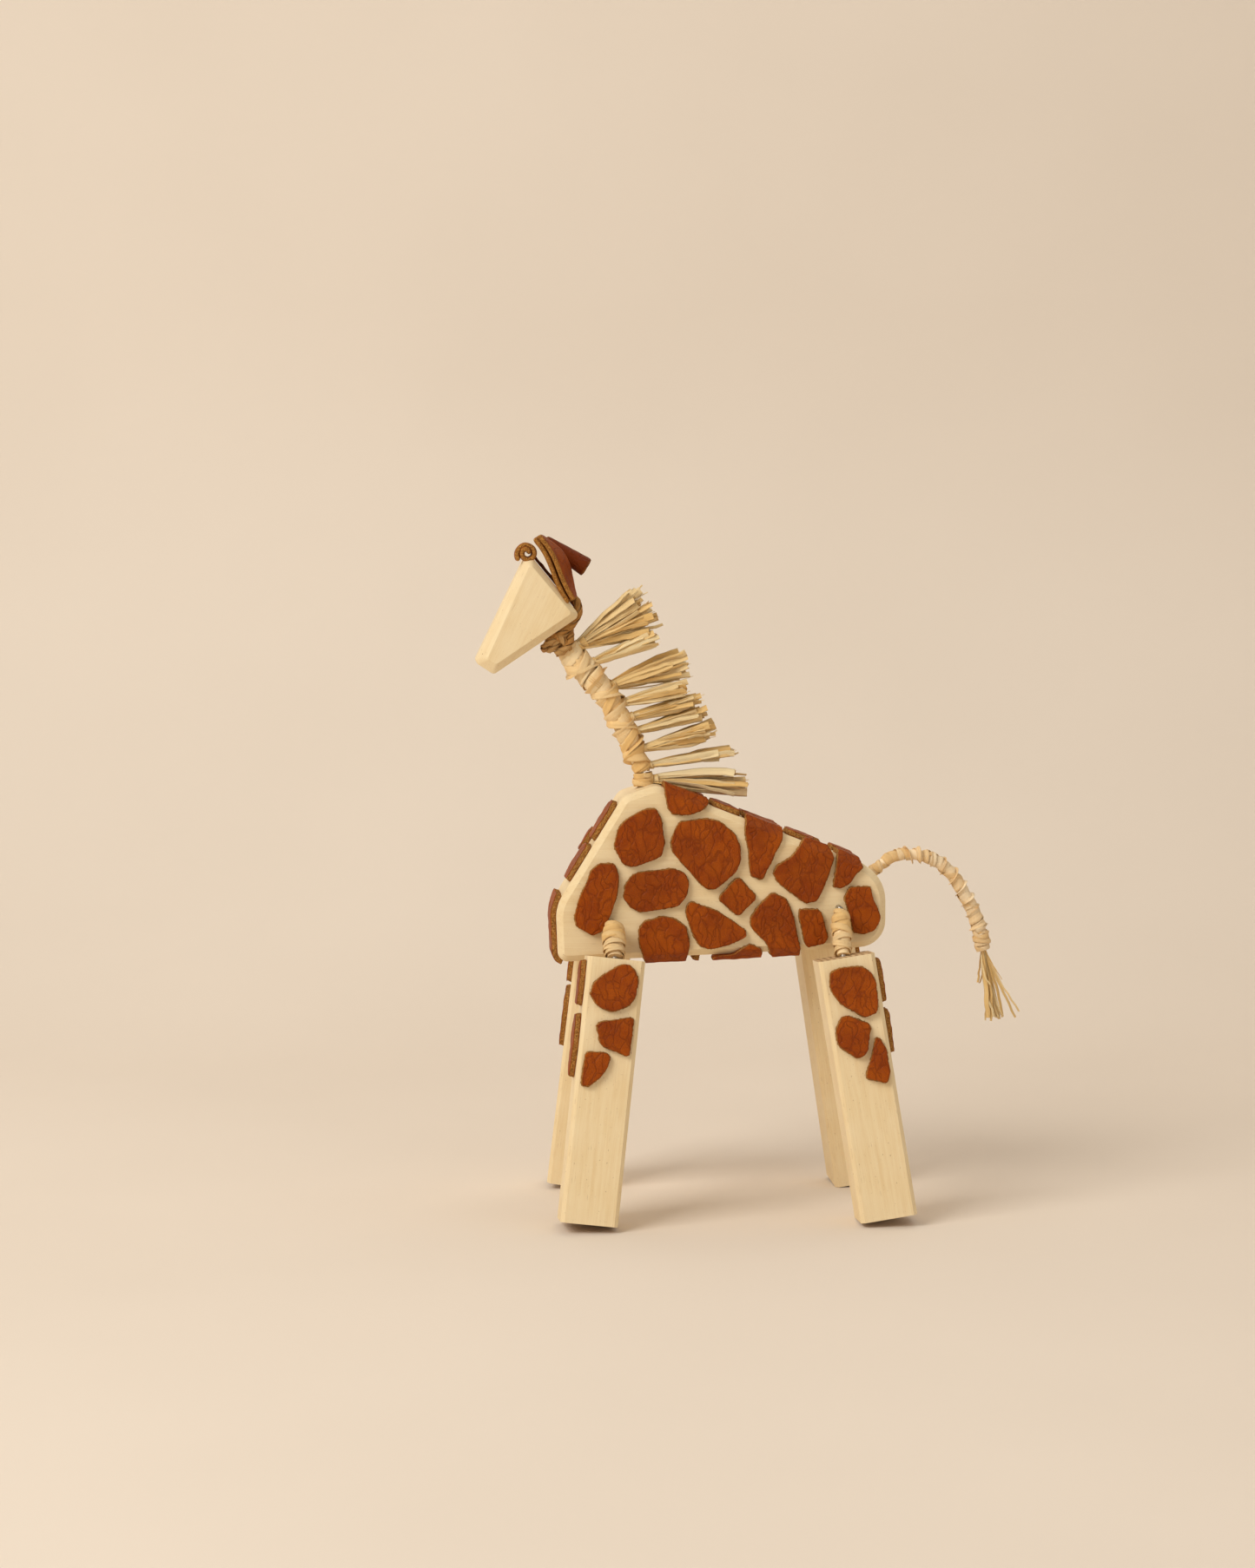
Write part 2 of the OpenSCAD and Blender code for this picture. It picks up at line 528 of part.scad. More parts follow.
// A thin spot under the belly
module belly_spots() {
    color(hide_c) translate([belly_start.x, 0, belly_start.y]) rotate([0, -belly_slope, 0])
        translate([0, 0, -0.02 - hide_t]) linear_extrude(hide_t)
            polygon(soften([[41.4, -11], [44, -11.4], [44.2, 0], [43.6, 10.6], [41.2, 9]]));
}

module leg_spots(side, outer_face, narrow_face, narrow_sign) {
    h = leg_w / 2;
    for (s = outer_face)
        translate([0, side == left ? -h : h + hide_t, 0]) plate(soften(s), hide_t);
    for (s = narrow_face)
        translate([narrow_sign < 0 ? -h - hide_t : h, 0, 0])
            side_plate(soften([for (p = s) [-side * p.x, p.y]]), hide_t);
}

module front_leg_spot_set(side) { color(hide_c) in_front_leg(side) leg_spots(side, front_leg_spots, front_face_spots, -1); }
module rear_leg_spot_set(side) { color(hide_c) in_rear_leg(side) leg_spots(side, rear_leg_spots, back_face_spots, 1); }

body_block();
head_block();
front_leg(left);  // left_front_leg
front_leg(right);  // right_front_leg
rear_leg(left);  // left_rear_leg
rear_leg(right);  // right_rear_leg
front_hip_wire();
rear_hip_wire();
hip_wrap(front_leg_x, front_hip_z, left, 4);  // left_front_hip_wrap
hip_wrap(front_leg_x, front_hip_z, right, 4);  // right_front_hip_wrap
hip_wrap(rear_leg_x, rear_hip_z, left, 3.2);  // left_rear_hip_wrap
hip_wrap(rear_leg_x, rear_hip_z, right, 3.2);  // right_rear_hip_wrap
neck_root_wire();
neck_root_wrap();
neck_wire();
neck_wrap();
head_wire();
head_wrap();
for (i = [1:9]) mane_tuft(i);
tail_root_wire();
tail_root_wrap();
tail_wire();
tail_wrap();
tail_knot();
tail_tuft();
left_ear();
right_ear();
forelock_curl();
poll_strip();
side_spots(left);  // left_side_spots
side_spots(right);  // right_side_spots
back_spots();
chest_spots();
belly_spots();
front_leg_spot_set(left);  // left_front_leg_spots
front_leg_spot_set(right);  // right_front_leg_spots
rear_leg_spot_set(left);  // left_rear_leg_spots
rear_leg_spot_set(right);  // right_rear_leg_spots
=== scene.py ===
import bpy
import bmesh
import numpy as np
from math import radians, sin, cos, pi
from mathutils import Matrix, Vector, noise
from mathutils.bvhtree import BVHTree


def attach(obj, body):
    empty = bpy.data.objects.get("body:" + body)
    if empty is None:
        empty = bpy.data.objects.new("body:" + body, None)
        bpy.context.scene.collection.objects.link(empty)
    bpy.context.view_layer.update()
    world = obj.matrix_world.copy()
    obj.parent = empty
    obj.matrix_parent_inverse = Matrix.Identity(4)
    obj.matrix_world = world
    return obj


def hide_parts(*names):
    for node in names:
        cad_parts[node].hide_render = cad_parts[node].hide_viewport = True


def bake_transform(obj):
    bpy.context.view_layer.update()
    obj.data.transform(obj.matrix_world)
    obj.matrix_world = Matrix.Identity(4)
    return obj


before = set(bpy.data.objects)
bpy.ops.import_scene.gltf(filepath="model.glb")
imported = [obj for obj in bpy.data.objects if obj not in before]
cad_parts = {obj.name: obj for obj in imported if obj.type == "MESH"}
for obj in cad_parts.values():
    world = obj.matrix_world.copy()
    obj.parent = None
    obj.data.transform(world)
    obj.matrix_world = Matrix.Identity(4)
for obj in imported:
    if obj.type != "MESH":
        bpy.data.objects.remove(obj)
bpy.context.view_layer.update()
mm = 0.001
print("frame loaded")


# ---- node trees written as expressions ----
class Wire:
    # one socket of a tree, with arithmetic on it
    def __init__(self, board, socket):
        self.board, self.socket = board, socket

    def other(self, name):
        return Wire(self.board, self.board.pick(self.socket.node.outputs, name))

    def isVector(self):
        return self.socket.type in ("VECTOR", "RGBA")

    def __add__(self, b):
        return self.board.combine("ADD", self, b)

    def __radd__(self, b):
        return self.board.combine("ADD", b, self)

    def __sub__(self, b):
        return self.board.combine("SUBTRACT", self, b)

    def __rsub__(self, b):
        return self.board.combine("SUBTRACT", b, self)

    def __mul__(self, b):
        return self.board.combine("MULTIPLY", self, b)

    def __rmul__(self, b):
        return self.board.combine("MULTIPLY", b, self)

    def __truediv__(self, b):
        return self.board.combine("DIVIDE", self, b)


class Board:
    # a shader or geometry tree being wired up
    def __init__(self, tree):
        self.tree = tree
        self.column = 0

    def pick(self, sockets, key):
        if isinstance(key, int):
            return sockets[key]
        for s in sockets:
            if s.enabled and s.name == key:
                return s
        raise KeyError(f"{key} not among {[s.name for s in sockets]}")

    def put(self, kind, settings=None, values=None, out=0):
        node = self.tree.nodes.new(kind)
        self.column += 1
        node.location = (self.column % 40 * 180, -(self.column // 40) * 260)
        for key, value in (settings or {}).items():
            if key == "stops":
                ramp = node.color_ramp
                while len(ramp.elements) < len(value):
                    ramp.elements.new(0.5)
                for element, (place, colour) in zip(ramp.elements, value):
                    element.position, element.color = place, (*colour, 1)
            else:
                setattr(node, key, value)
        for key, value in (values or {}).items():
            self.feed(self.pick(node.inputs, key), value)
        return Wire(self, self.pick(node.outputs, out))

    def feed(self, socket, value):
        if isinstance(value, Wire):
            self.tree.links.new(value.socket, socket)
        elif isinstance(value, (tuple, list)) and socket.type == "RGBA" and len(value) == 3:
            socket.default_value = (*value, 1)
        else:
            socket.default_value = value

    def combine(self, operation, a, b):
        vectors = [isinstance(x, (tuple, list)) or (isinstance(x, Wire) and x.isVector()) for x in (a, b)]
        if not any(vectors):
            return self.put("ShaderNodeMath", {"operation": operation}, {0: a, 1: b})
        if operation == "MULTIPLY" and not all(vectors):
            vector, number = (a, b) if vectors[0] else (b, a)
            values = {0: vector, "Scale": number}
            return self.put("ShaderNodeVectorMath", {"operation": "SCALE"}, values, "Vector")
        return self.put("ShaderNodeVectorMath", {"operation": operation}, {0: a, 1: b}, "Vector")

    def maths(self, operation, *values):
        return self.put("ShaderNodeMath", {"operation": operation}, dict(enumerate(values)))

    def vector(self, operation, *values, out="Vector"):
        return self.put("ShaderNodeVectorMath", {"operation": operation}, dict(enumerate(values)), out)

    def blend(self, factor, a, b, way="MIX"):
        return self.put("ShaderNodeMix", {"data_type": "RGBA", "blend_type": way},
                        {"Factor": factor, "A": a, "B": b}, "Result")

    def step(self, value, low, high, start=0.0, end=1.0):
        return self.put("ShaderNodeMapRange", {"interpolation_type": "SMOOTHSTEP"},
                        {"Value": value, "From Min": low, "From Max": high, "To Min": start, "To Max": end})

    def cloud(self, place, scale, detail=3.0, rough=0.55, out="Fac"):
        return self.put("ShaderNodeTexNoise", None,
                        {"Vector": place, "Scale": scale, "Detail": detail, "Roughness": rough}, out)


def newMaterial(name):
    mat = bpy.data.materials.new(name)
    mat.use_nodes = True
    mat.node_tree.nodes.clear()
    board = Board(mat.node_tree)
    shader = board.put("ShaderNodeBsdfPrincipled")
    end = mat.node_tree.nodes.new("ShaderNodeOutputMaterial")
    mat.node_tree.links.new(shader.socket, end.inputs["Surface"])
    return mat, board, shader.socket.node


def attribute(board, name, out="Fac"):
    return board.put("ShaderNodeAttribute", {"attribute_name": name}, None, out)


def finishSurface(board, node, colour, roughness, height, strength, distance):
    board.feed(node.inputs["Base Color"], colour)
    board.feed(node.inputs["Roughness"], roughness)
    values = {"Height": height, "Strength": strength, "Distance": distance}
    normal = board.put("ShaderNodeBump", None, values, "Normal")
    board.feed(node.inputs["Normal"], normal)


# ---- materials ----
paintLook = {"light": (0.86, 0.70, 0.43), "deep": (0.80, 0.615, 0.345), "worn": (0.92, 0.79, 0.55),
             "speck": (0.28, 0.13, 0.05), "raw": (0.70, 0.50, 0.27), "rawDark": (0.40, 0.24, 0.11)}


def makePaintedWood():
    mat, b, node = newMaterial("creamPaintedWood")
    at = attribute(b, "grainAt", "Vector")  # millimetres, first number along the grain
    streak = b.cloud(at * (0.035, 0.62, 0.62), 1.0, 5, 0.62)
    fine = b.cloud(at * (0.11, 3.4, 3.4), 1.0, 3, 0.6)
    cloud = b.cloud(at, 0.055, 3)
    colour = b.blend(b.step(streak * 0.6 + fine * 0.4, 0.36, 0.62), paintLook["deep"], paintLook["light"])
    colour = b.blend(b.step(cloud, 0.35, 0.7) * 0.35, colour, paintLook["worn"])
    scuff = b.step(b.cloud(at * (0.5, 1.6, 1.6), 1.0, 4, 0.7), 0.64, 0.72)
    colour = b.blend(scuff * 0.5, colour, paintLook["worn"])
    speck = b.step(b.cloud(at, 1.5, 2, 0.5), 0.70, 0.76)
    pore = b.step(b.cloud(at * (0.25, 2.3, 2.3), 1.0, 2, 0.5), 0.69, 0.75)
    colour = b.blend(speck * 0.55, colour, paintLook["speck"])
    colour = b.blend(pore * 0.22, colour, paintLook["speck"])
    # sawn ends: bare, darker, with the ends of the fibres showing
    cut = attribute(b, "sawn")
    dots = b.cloud(at * (1.0, 2.6, 2.6), 1.0, 4, 0.7)
    rings = b.put("ShaderNodeTexWave", {"bands_direction": "Y"},
                  {"Vector": at, "Scale": 0.16, "Distortion": 3.0, "Detail": 2.0})
    rawColour = b.blend(b.step(dots * 0.6 + rings * 0.4, 0.3, 0.7), paintLook["rawDark"], paintLook["raw"])
    bare = b.step(cut + (dots - 0.5) * 0.5, 0.45, 0.65)
    colour = b.blend(bare, colour, rawColour)
    rough = b.step(streak, 0.3, 0.7, 0.44, 0.60) + bare * 0.25
    height = streak * 0.5 + fine * 0.35 - speck * 0.5 - pore * 0.5
    height = height + b.cloud(at, 0.25, 2) * 0.8 + dots * bare * 1.5
    finishSurface(b, node, colour, rough, height, 0.45, 0.00022)
    node.inputs["Specular IOR Level"].default_value = 0.4
    return mat


hideLook = {"dark": (0.170, 0.026, 0.0005), "mid": (0.330, 0.056, 0.0006), "bright": (0.430, 0.088, 0.001),
            "edge": (0.36, 0.135, 0.022), "edgePale": (0.66, 0.33, 0.085), "edgeDark": (0.10, 0.030, 0.005)}


def makeHide(name, edgePale, tint):
    mat, b, node = newMaterial(name)
    at = b.put("ShaderNodeTexCoord", None, None, "Object") * 1000.0
    rim = attribute(b, "rim")
    mottle = b.cloud(at, 0.16, 4, 0.6)
    patchy = b.cloud(at, 0.05, 2)
    colour = b.blend(b.step(mottle, 0.32, 0.68), hideLook["mid"], hideLook["bright"])
    colour = b.blend(b.step(patchy, 0.42, 0.72) * 0.35, colour, hideLook["dark"])
    colour = b.blend(1.0, colour, tint, "MULTIPLY")
    cells = b.put("ShaderNodeTexVoronoi", {"feature": "DISTANCE_TO_EDGE"},
                  {"Vector": at + b.cloud(at, 0.9, 2, out="Color") * 0.6, "Scale": 1.9}, "Distance")
    crease = b.step(cells, 0.0, 0.16)
    bent = at + b.cloud(at, 0.12, 2, out="Color") * 9.0
    wrinkle = b.put("ShaderNodeTexVoronoi", {"feature": "DISTANCE_TO_EDGE"},
                    {"Vector": bent * (0.34, 0.34, 0.12), "Scale": 1.0}, "Distance")
    wrinkle = b.step(wrinkle, 0.0, 0.10)
    fold = b.cloud(at * (1.0, 1.0, 1.35), 0.55, 4, 0.65)
    # painted shade: the grain creases and wrinkles are darkened towards the dark hide colour
    colour = b.blend((1 - crease) * 0.30 + (1 - wrinkle) * 0.42, colour, hideLook["dark"])
    # raw cut edge: matted fibres
    fibre = b.cloud(at, 2.6, 4, 0.75)
    tuft = b.cloud(at, 0.8, 3, 0.7)
    edge = b.blend(b.step(fibre, 0.34, 0.66), hideLook["edgeDark"], edgePale)
    edge = b.blend(b.step(tuft, 0.4, 0.7) * 0.6, edge, hideLook["edge"])
    worn = b.step(rim + (tuft - 0.5) * 0.5, 0.30, 0.55)
    colour = b.blend(worn, colour, edge)
    rough = b.step(mottle, 0.3, 0.7, 0.36, 0.54) + worn * 0.4
    height = (crease * 0.40 + wrinkle * 0.75) * (1 - worn) + fold * 0.8 + fibre * worn * 1.8
    finishSurface(b, node, colour, rough, height, 0.75, 0.00034)
    node.inputs["Specular IOR Level"].default_value = 0.16
    return mat


raffiaLook = {"pale": (0.97, 0.80, 0.48), "straw": (0.88, 0.58, 0.21), "tan": (0.70, 0.36, 0.085),
              "fleck": (0.36, 0.17, 0.05)}


def makeRaffia(name, warmth, shade):
    mat, b, node = newMaterial(name)
    strip = attribute(b, "strip")
    along = attribute(b, "along")
    across = attribute(b, "across")
    ring = b.maths("ABSOLUTE", across * 2.0 - 1.0)
    place = b.put("ShaderNodeCombineXYZ", None, {"X": ring * 7.0, "Y": along, "Z": strip * 37.0}, "Vector")
    fibre = b.cloud(place * (3.0, 1.6, 1.0), 1.0, 4, 0.6)
    stain = b.cloud(place * (0.3, 2.5, 1.0), 1.0, 3, 0.6)
    tone = b.maths("FRACT", strip * 7.31 + 0.17)
    colour = b.blend(b.step(fibre * 0.7 + tone * 0.5, 0.30, 0.95), raffiaLook["pale"], raffiaLook["straw"])
    colour = b.blend(b.step(stain + tone * 0.25, 0.55, 0.95) * warmth, colour, raffiaLook["tan"])
    fleck = b.step(b.cloud(place * (1.4, 6.0, 1.0), 1.0, 3, 0.6), 0.68, 0.74)
    colour = b.blend(fleck * 0.5, colour, raffiaLook["fleck"])
    colour = b.blend(1.0, colour, shade, "MULTIPLY")
    rough = b.step(fibre, 0.3, 0.7, 0.42, 0.66)
    finishSurface(b, node, colour, rough, fibre, 0.7, 0.00032)
    node.inputs["Specular IOR Level"].default_value = 0.30
    return mat


def makeWire():
    mat, b, node = newMaterial("plainWire")
    at = b.put("ShaderNodeTexCoord", None, None, "Object") * 1000.0
    draw = b.cloud(at * (3.0, 0.3, 3.0), 1.0, 3)
    colour = b.blend(b.step(draw, 0.35, 0.65), (0.30, 0.27, 0.24), (0.62, 0.58, 0.52))
    finishSurface(b, node, colour, b.step(draw, 0.3, 0.7, 0.3, 0.5), draw, 0.3, 0.0001)
    node.inputs["Metallic"].default_value = 1.0
    return mat


paintedWood = makePaintedWood()
spotHide = makeHide("saddleHide", hideLook["edgePale"], (1.0, 1.0, 1.0))
earHide = makeHide("earHide", (0.72, 0.34, 0.075), (0.95, 0.92, 0.92))
# painted shade: a darker copy of the saddle hide, with a darker raw edge, for the far ear's roll that lies in
# shade; the poll strip uses the same darker copy
hideShadedCopy = makeHide("hideShadedCopy", (0.30, 0.10, 0.03), (0.50, 0.42, 0.42))
maneRaffia = makeRaffia("maneRaffia", 0.28, (1.0, 1.0, 1.0))
woundRaffia = makeRaffia("woundRaffia", 0.30, (1.0, 0.975, 1.0))
tailRaffia = makeRaffia("tailRaffia", 0.18, (1.0, 1.0, 1.15))
# painted shade: the knot under the head is multiplied darker by (0.58, 0.44, 0.30) for the shadow it sits in;
# the warmer tan is the raffia's own colour
knotRaffiaPaintedShade = makeRaffia("knotRaffiaPaintedShade", 0.9, (0.58, 0.44, 0.30))
plainWire = makeWire()
print("materials made")


# ---- shared mesh work ----
def addPiece(name, mesh, body, material, nodes=(), bend=None):
    mesh.materials.clear()
    mesh.materials.append(material)
    obj = bpy.data.objects.new(name, mesh)
    bpy.context.scene.collection.objects.link(obj)
    if bend:
        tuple(bend[2])
        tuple(bend[3])
        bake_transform(obj)
    else:
        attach(obj, body)
    if nodes:
        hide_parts(*nodes)
    return obj


def mergedCopy(*nodes):
    bm = bmesh.new()
    for name in nodes:
        bm.from_mesh(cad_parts[name].data)
    bmesh.ops.remove_doubles(bm, verts=bm.verts, dist=2e-6)
    return bm


def bake(obj):
    # the evaluated object as a plain mesh; the helper object goes away
    bpy.context.view_layer.update()
    mesh = bpy.data.meshes.new_from_object(obj.evaluated_get(bpy.context.evaluated_depsgraph_get()))
    bpy.data.objects.remove(obj)
    return mesh


def helper(mesh):
    obj = bpy.data.objects.new("helper", mesh)
    bpy.context.scene.collection.objects.link(obj)
    return obj


def pointValues(mesh, name, values):
    layer = mesh.attributes.get(name) or mesh.attributes.new(name, "FLOAT", "POINT")
    layer.data.foreach_set("value", np.asarray(values, np.float32))


# ---- wood ----
woodLook = {"soften": 0.32 * mm, "sharp": 20, "segments": 3, "endFace": 0.8}


def makeWood(name, body, turn, start, sawnEnds=False):
    bm = mergedCopy(name)
    bmesh.ops.dissolve_limit(bm, angle_limit=radians(0.4), verts=bm.verts, edges=bm.edges)
    sharpest = radians(woodLook["sharp"])
    sharp = [e for e in bm.edges if len(e.link_faces) == 2 and e.calc_face_angle() > sharpest]
    bmesh.ops.bevel(bm, geom=sharp, offset=woodLook["soften"], offset_type="OFFSET",
                    segments=woodLook["segments"], profile=0.5, clamp_overlap=True, affect="EDGES")
    bmesh.ops.triangulate(bm, faces=[f for f in bm.faces if len(f.verts) > 4])
    mesh = bpy.data.meshes.new(name)
    bm.to_mesh(mesh)
    bm.free()
    mesh.shade_smooth()
    mesh.set_sharp_from_angle(angle=radians(38))
    obj = helper(mesh)
    weighted = obj.modifiers.new("weighted", "WEIGHTED_NORMAL")
    weighted.weight, weighted.keep_sharp = 80, True
    mesh = bake(obj)
    inverse = turn.inverted()
    local = [inverse @ (v.co - start) for v in mesh.vertices]
    grain = mesh.attributes.new("grainAt", "FLOAT_VECTOR", "POINT")
    grain.data.foreach_set("vector", np.array([(-p.z, p.x, p.y) for p in local], np.float32).ravel() * 1000)
    cut = mesh.attributes.new("sawn", "FLOAT", "FACE")
    for face, slot in zip(mesh.polygons, cut.data):
        slot.value = float(sawnEnds and abs((inverse @ face.normal).z) > woodLook["endFace"])
    return addPiece(name + "Wood", mesh, body, paintedWood, [name])


hipLook = {"elbowY": 17.5, "legY": 26.2, "legZ": 88.6}
legTop = hipLook["legZ"] * mm
legY = hipLook["legY"] * mm
legPlaces = {  # x, side, tilt, splay, twist, body
    "left_front_leg": (-48 * mm, -1, 6.5, 7, 0, "front_legs"),
    "right_front_leg": (-48 * mm, 1, 6.5, 7, -6, "front_legs"),
    "left_rear_leg": (28.5 * mm, -1, -9, 5, 0, "rear_legs"),
    "right_rear_leg": (28.5 * mm, 1, -9, 5, 2, "rear_legs")}


def legTurn(side, tilt, splay, twist):
    return (Matrix.Rotation(radians(tilt), 3, "Y") @ Matrix.Rotation(radians(side * splay), 3, "X")
            @ Matrix.Rotation(radians(twist), 3, "Z"))


alongX = Matrix.Rotation(radians(90), 3, "Y")
alongMuzzle = Matrix.Rotation(radians(26), 3, "Y")
makeWood("body_block", "trunk", alongX, Vector((0, 0, 0.1)))
makeWood("head_block", "head", alongMuzzle, Vector((-0.078, 0, 0.21)))
for legName, (x, side, tilt, splay, twist, body) in legPlaces.items():
    makeWood(legName, body, legTurn(side, tilt, splay, twist), Vector((x, side * legY, legTop)), True)
print("wood made")


# ---- leather spots ----
spotLook = {"voxel": 0.00038, "smooth": 2, "edgeWave": 0.00030, "edgeNibble": 0.00018, "faceWave": 0.00012,
            "flare": 0.00045, "fray": 0.00040, "gap": 0.00034, "thick": 2.0 * mm}


def islands(bm):
    seen = set()
    for first in bm.verts:
        if first in seen:
            continue
        part, waiting = [], [first]
        seen.add(first)
        while waiting:
            v = waiting.pop()
            part.append(v)
            for e in v.link_edges:
                o = e.other_vert(v)
                if o not in seen:
                    seen.add(o)
                    waiting.append(o)
        yield part


def makeSpots(node, body, woodNodes, material, voxel=None, thick=None):
    bm = mergedCopy(node)
    for part in islands(bm):  # a hair smaller each, so that neighbours stay apart
        centre = sum((v.co for v in part), Vector()) / len(part)
        shrink = 1 - spotLook["gap"] / max((v.co - centre).length for v in part)
        for v in part:
            v.co = centre + (v.co - centre) * shrink
    mesh = bpy.data.meshes.new(node)
    bm.to_mesh(mesh)
    bm.free()
    obj = helper(mesh)
    remesh = obj.modifiers.new("remesh", "REMESH")
    remesh.mode, remesh.voxel_size, remesh.use_smooth_shade = "VOXEL", voxel or spotLook["voxel"], True
    smooth = obj.modifiers.new("smooth", "SMOOTH")
    smooth.factor, smooth.iterations = 0.5, spotLook["smooth"]
    mesh = bake(obj)
    wood = mergedCopy(*woodNodes)
    tree = BVHTree.FromBMesh(wood)
    wood.free()
    thick = thick or spotLook["thick"]
    count = len(mesh.vertices)
    places, normals = np.empty(count * 3, np.float32), np.empty(count * 3, np.float32)
    mesh.vertices.foreach_get("co", places)
    mesh.vertices.foreach_get("normal", normals)  # read once: asking after each move would redo them all
    moved, rim = places.reshape(-1, 3).copy(), []
    for i, (place, normal) in enumerate(zip(places.reshape(-1, 3).tolist(), normals.reshape(-1, 3).tolist())):
        place, normal = Vector(place), Vector(normal)
        spot, face, _, distance = tree.find_nearest(place)
        away = place - spot
        up = face if distance < 0.3 * mm or away.dot(face) <= 0 else away.normalized()
        facing = normal.dot(up)
        side = max(0.0, 1 - abs(facing) * 1.15)
        rim.append(side if distance < thick * 0.92 else side * 0.8)
        p = place * 1000
        low = max(0.0, 1 - distance / thick)
        wave = (noise.noise(p * 0.22) * spotLook["edgeWave"]
                + noise.noise(p * 0.9 + Vector((7, 3, 1))) * spotLook["edgeNibble"])
        wave += (low - 0.9) * spotLook["flare"] + noise.noise(p * 2.1) * low * spotLook["fray"]
        place += (normal - up * facing) * wave * min(1.0, side * 20)
        if facing > 0.3:
            place += up * (noise.noise(p * 0.35 + Vector((1, 9, 4))) * spotLook["faceWave"] * 2)
        elif distance < 0.5 * mm and facing < -0.3:
            place -= up * 0.06 * mm
        moved[i] = place
    mesh.vertices.foreach_set("co", moved.ravel())
    mesh.update()
    pointValues(mesh, "rim", rim)
    mesh.shade_smooth()
    return addPiece(node + "Hide", mesh, body, material, [node])


for side in ("left", "right"):
    makeSpots(side + "_side_spots", "trunk", ["body_block"], spotHide)
    makeSpots(side + "_front_leg_spots", "front_legs", [side + "_front_leg"], spotHide)
    makeSpots(side + "_rear_leg_spots", "rear_legs", [side + "_rear_leg"], spotHide)
for node in ("back_spots", "chest_spots", "belly_spots"):
    makeSpots(node, "trunk", ["body_block"], spotHide)
makeSpots("poll_strip", "head", ["head_block"], hideShadedCopy, 0.00030, 1.0 * mm)
print("spots made")


# ---- ears and forelock: sheets of leather rolled or folded ----
def thickSheet(place, columns, rows, thickness):
    # place(u, v) gives the middle of the sheet in millimetres; the edges are rounded rows of their own
    def normalAt(u, v):
        e = 0.004
        a = Vector(place(min(u + e, 1), v)) - Vector(place(max(u - e, 0), v))
        c = Vector(place(u, min(v + e, 1))) - Vector(place(u, max(v - e, 0)))
        return a.cross(c).normalized()

    us = [i / columns for i in range(columns + 1)]
    vs = [j / rows for j in range(rows + 1)]
    verts, rim, faces = [], [], []
    index = {}
    for layer in (1, -1):
        for i, u in enumerate(us):
            for j, v in enumerate(vs):
                p, n = Vector(place(u, v)), normalAt(u, v)
                wobble = 1 + 0.12 * noise.noise(p * 0.5) + 0.08 * noise.noise(p * 1.7)
                onEdge = i in (0, columns) or j in (0, rows)
                index[layer, i, j] = len(verts)
                verts.append((p + n * layer * thickness / 2 * wobble * (0.72 if onEdge else 1)) * mm)
                rim.append(0.75 if onEdge else 0.0)
    for layer in (1, -1):
        for i in range(columns):
            for j in range(rows):
                corners = ((i, j), (i + 1, j), (i + 1, j + 1), (i, j + 1))
                quad = [index[(layer, *corner)] for corner in corners]
                faces.append(quad if layer == 1 else quad[::-1])
    loop = ([(i, 0) for i in range(columns)] + [(columns, j) for j in range(rows)]
            + [(i, rows) for i in range(columns, 0, -1)] + [(0, j) for j in range(rows, 0, -1)])
    middle = []
    for i, j in loop:
        p = Vector(place(us[i], vs[j]))
        inner = Vector(place(min(max(us[i], 0.03), 0.97), min(max(vs[j], 0.03), 0.97)))
        out = (p - inner).normalized()
        ragged = 0.22 + 0.16 * noise.noise(p * 2.3)
        middle.append(len(verts))
        verts.append((p + out * ragged) * mm)
        rim.append(1.0)
    for k in range(len(loop)):
        a, c = loop[k], loop[(k + 1) % len(loop)]
        m, n = middle[k], middle[(k + 1) % len(loop)]
        faces.append([index[1, a[0], a[1]], m, n, index[1, c[0], c[1]]])
        faces.append([m, index[-1, a[0], a[1]], index[-1, c[0], c[1]], n])
    bm = bmesh.new()
    made = [bm.verts.new(v) for v in verts]
    for f in faces:
        bm.faces.new([made[k] for k in f])
    bmesh.ops.recalc_face_normals(bm, faces=bm.faces)
    mesh = bpy.data.meshes.new("sheet")
    bm.to_mesh(mesh)
    bm.free()
    pointValues(mesh, "rim", rim)
    obj = helper(mesh)
    sub = obj.modifiers.new("sub", "SUBSURF")
    sub.levels = sub.render_levels = 1
    mesh = bake(obj)
    mesh.shade_smooth()
    return mesh


leftEarLook = {"foot": (-61.6, 206.9), "tip": (-72.9, 228.2), "nearY": -9.0, "farY": -1.2, "gap": 0.88,
               "thick": 1.95}


def leftEarPlace(u, v):
    # u runs from one cut edge back round the fold to the other, v from foot to tip
    e = leftEarLook
    axis = Vector((e["tip"][0] - e["foot"][0], e["tip"][1] - e["foot"][1]))
    across = Vector((axis.y, -axis.x)).normalized()
    q = 2 * u - 1
    depth = cos(q * pi / 2) ** 0.6
    apart = e["gap"] * (1 + 1.5 * sin(pi * v) ** 2 * depth) + 0.9 * depth * (1 - v)
    apart = apart * (1 if q > 0 else -1) * min(1, abs(q) * 3)
    sway = 0.5 * sin(2 * pi * v) - 0.3 * sin(pi * v) - 2.8 * depth * (0.15 + 0.85 * sin(pi * v))
    x = e["foot"][0] + axis.x * v - across.x * (apart + sway)
    z = e["foot"][1] + axis.y * v - across.y * (apart + sway)
    y = e["nearY"] + (e["farY"] - e["nearY"]) * depth * (0.45 + 0.55 * sin(pi * (0.12 + 0.8 * v)))
    return (x, y, z)


rightEarLook = {"foot": (-69.6, 4.6, 227.0), "way": (0.848, 0.02, -0.53), "length": 16.6, "start": 1.5,
                "flare": 1.2, "turns": 1.35, "thick": 1.3}


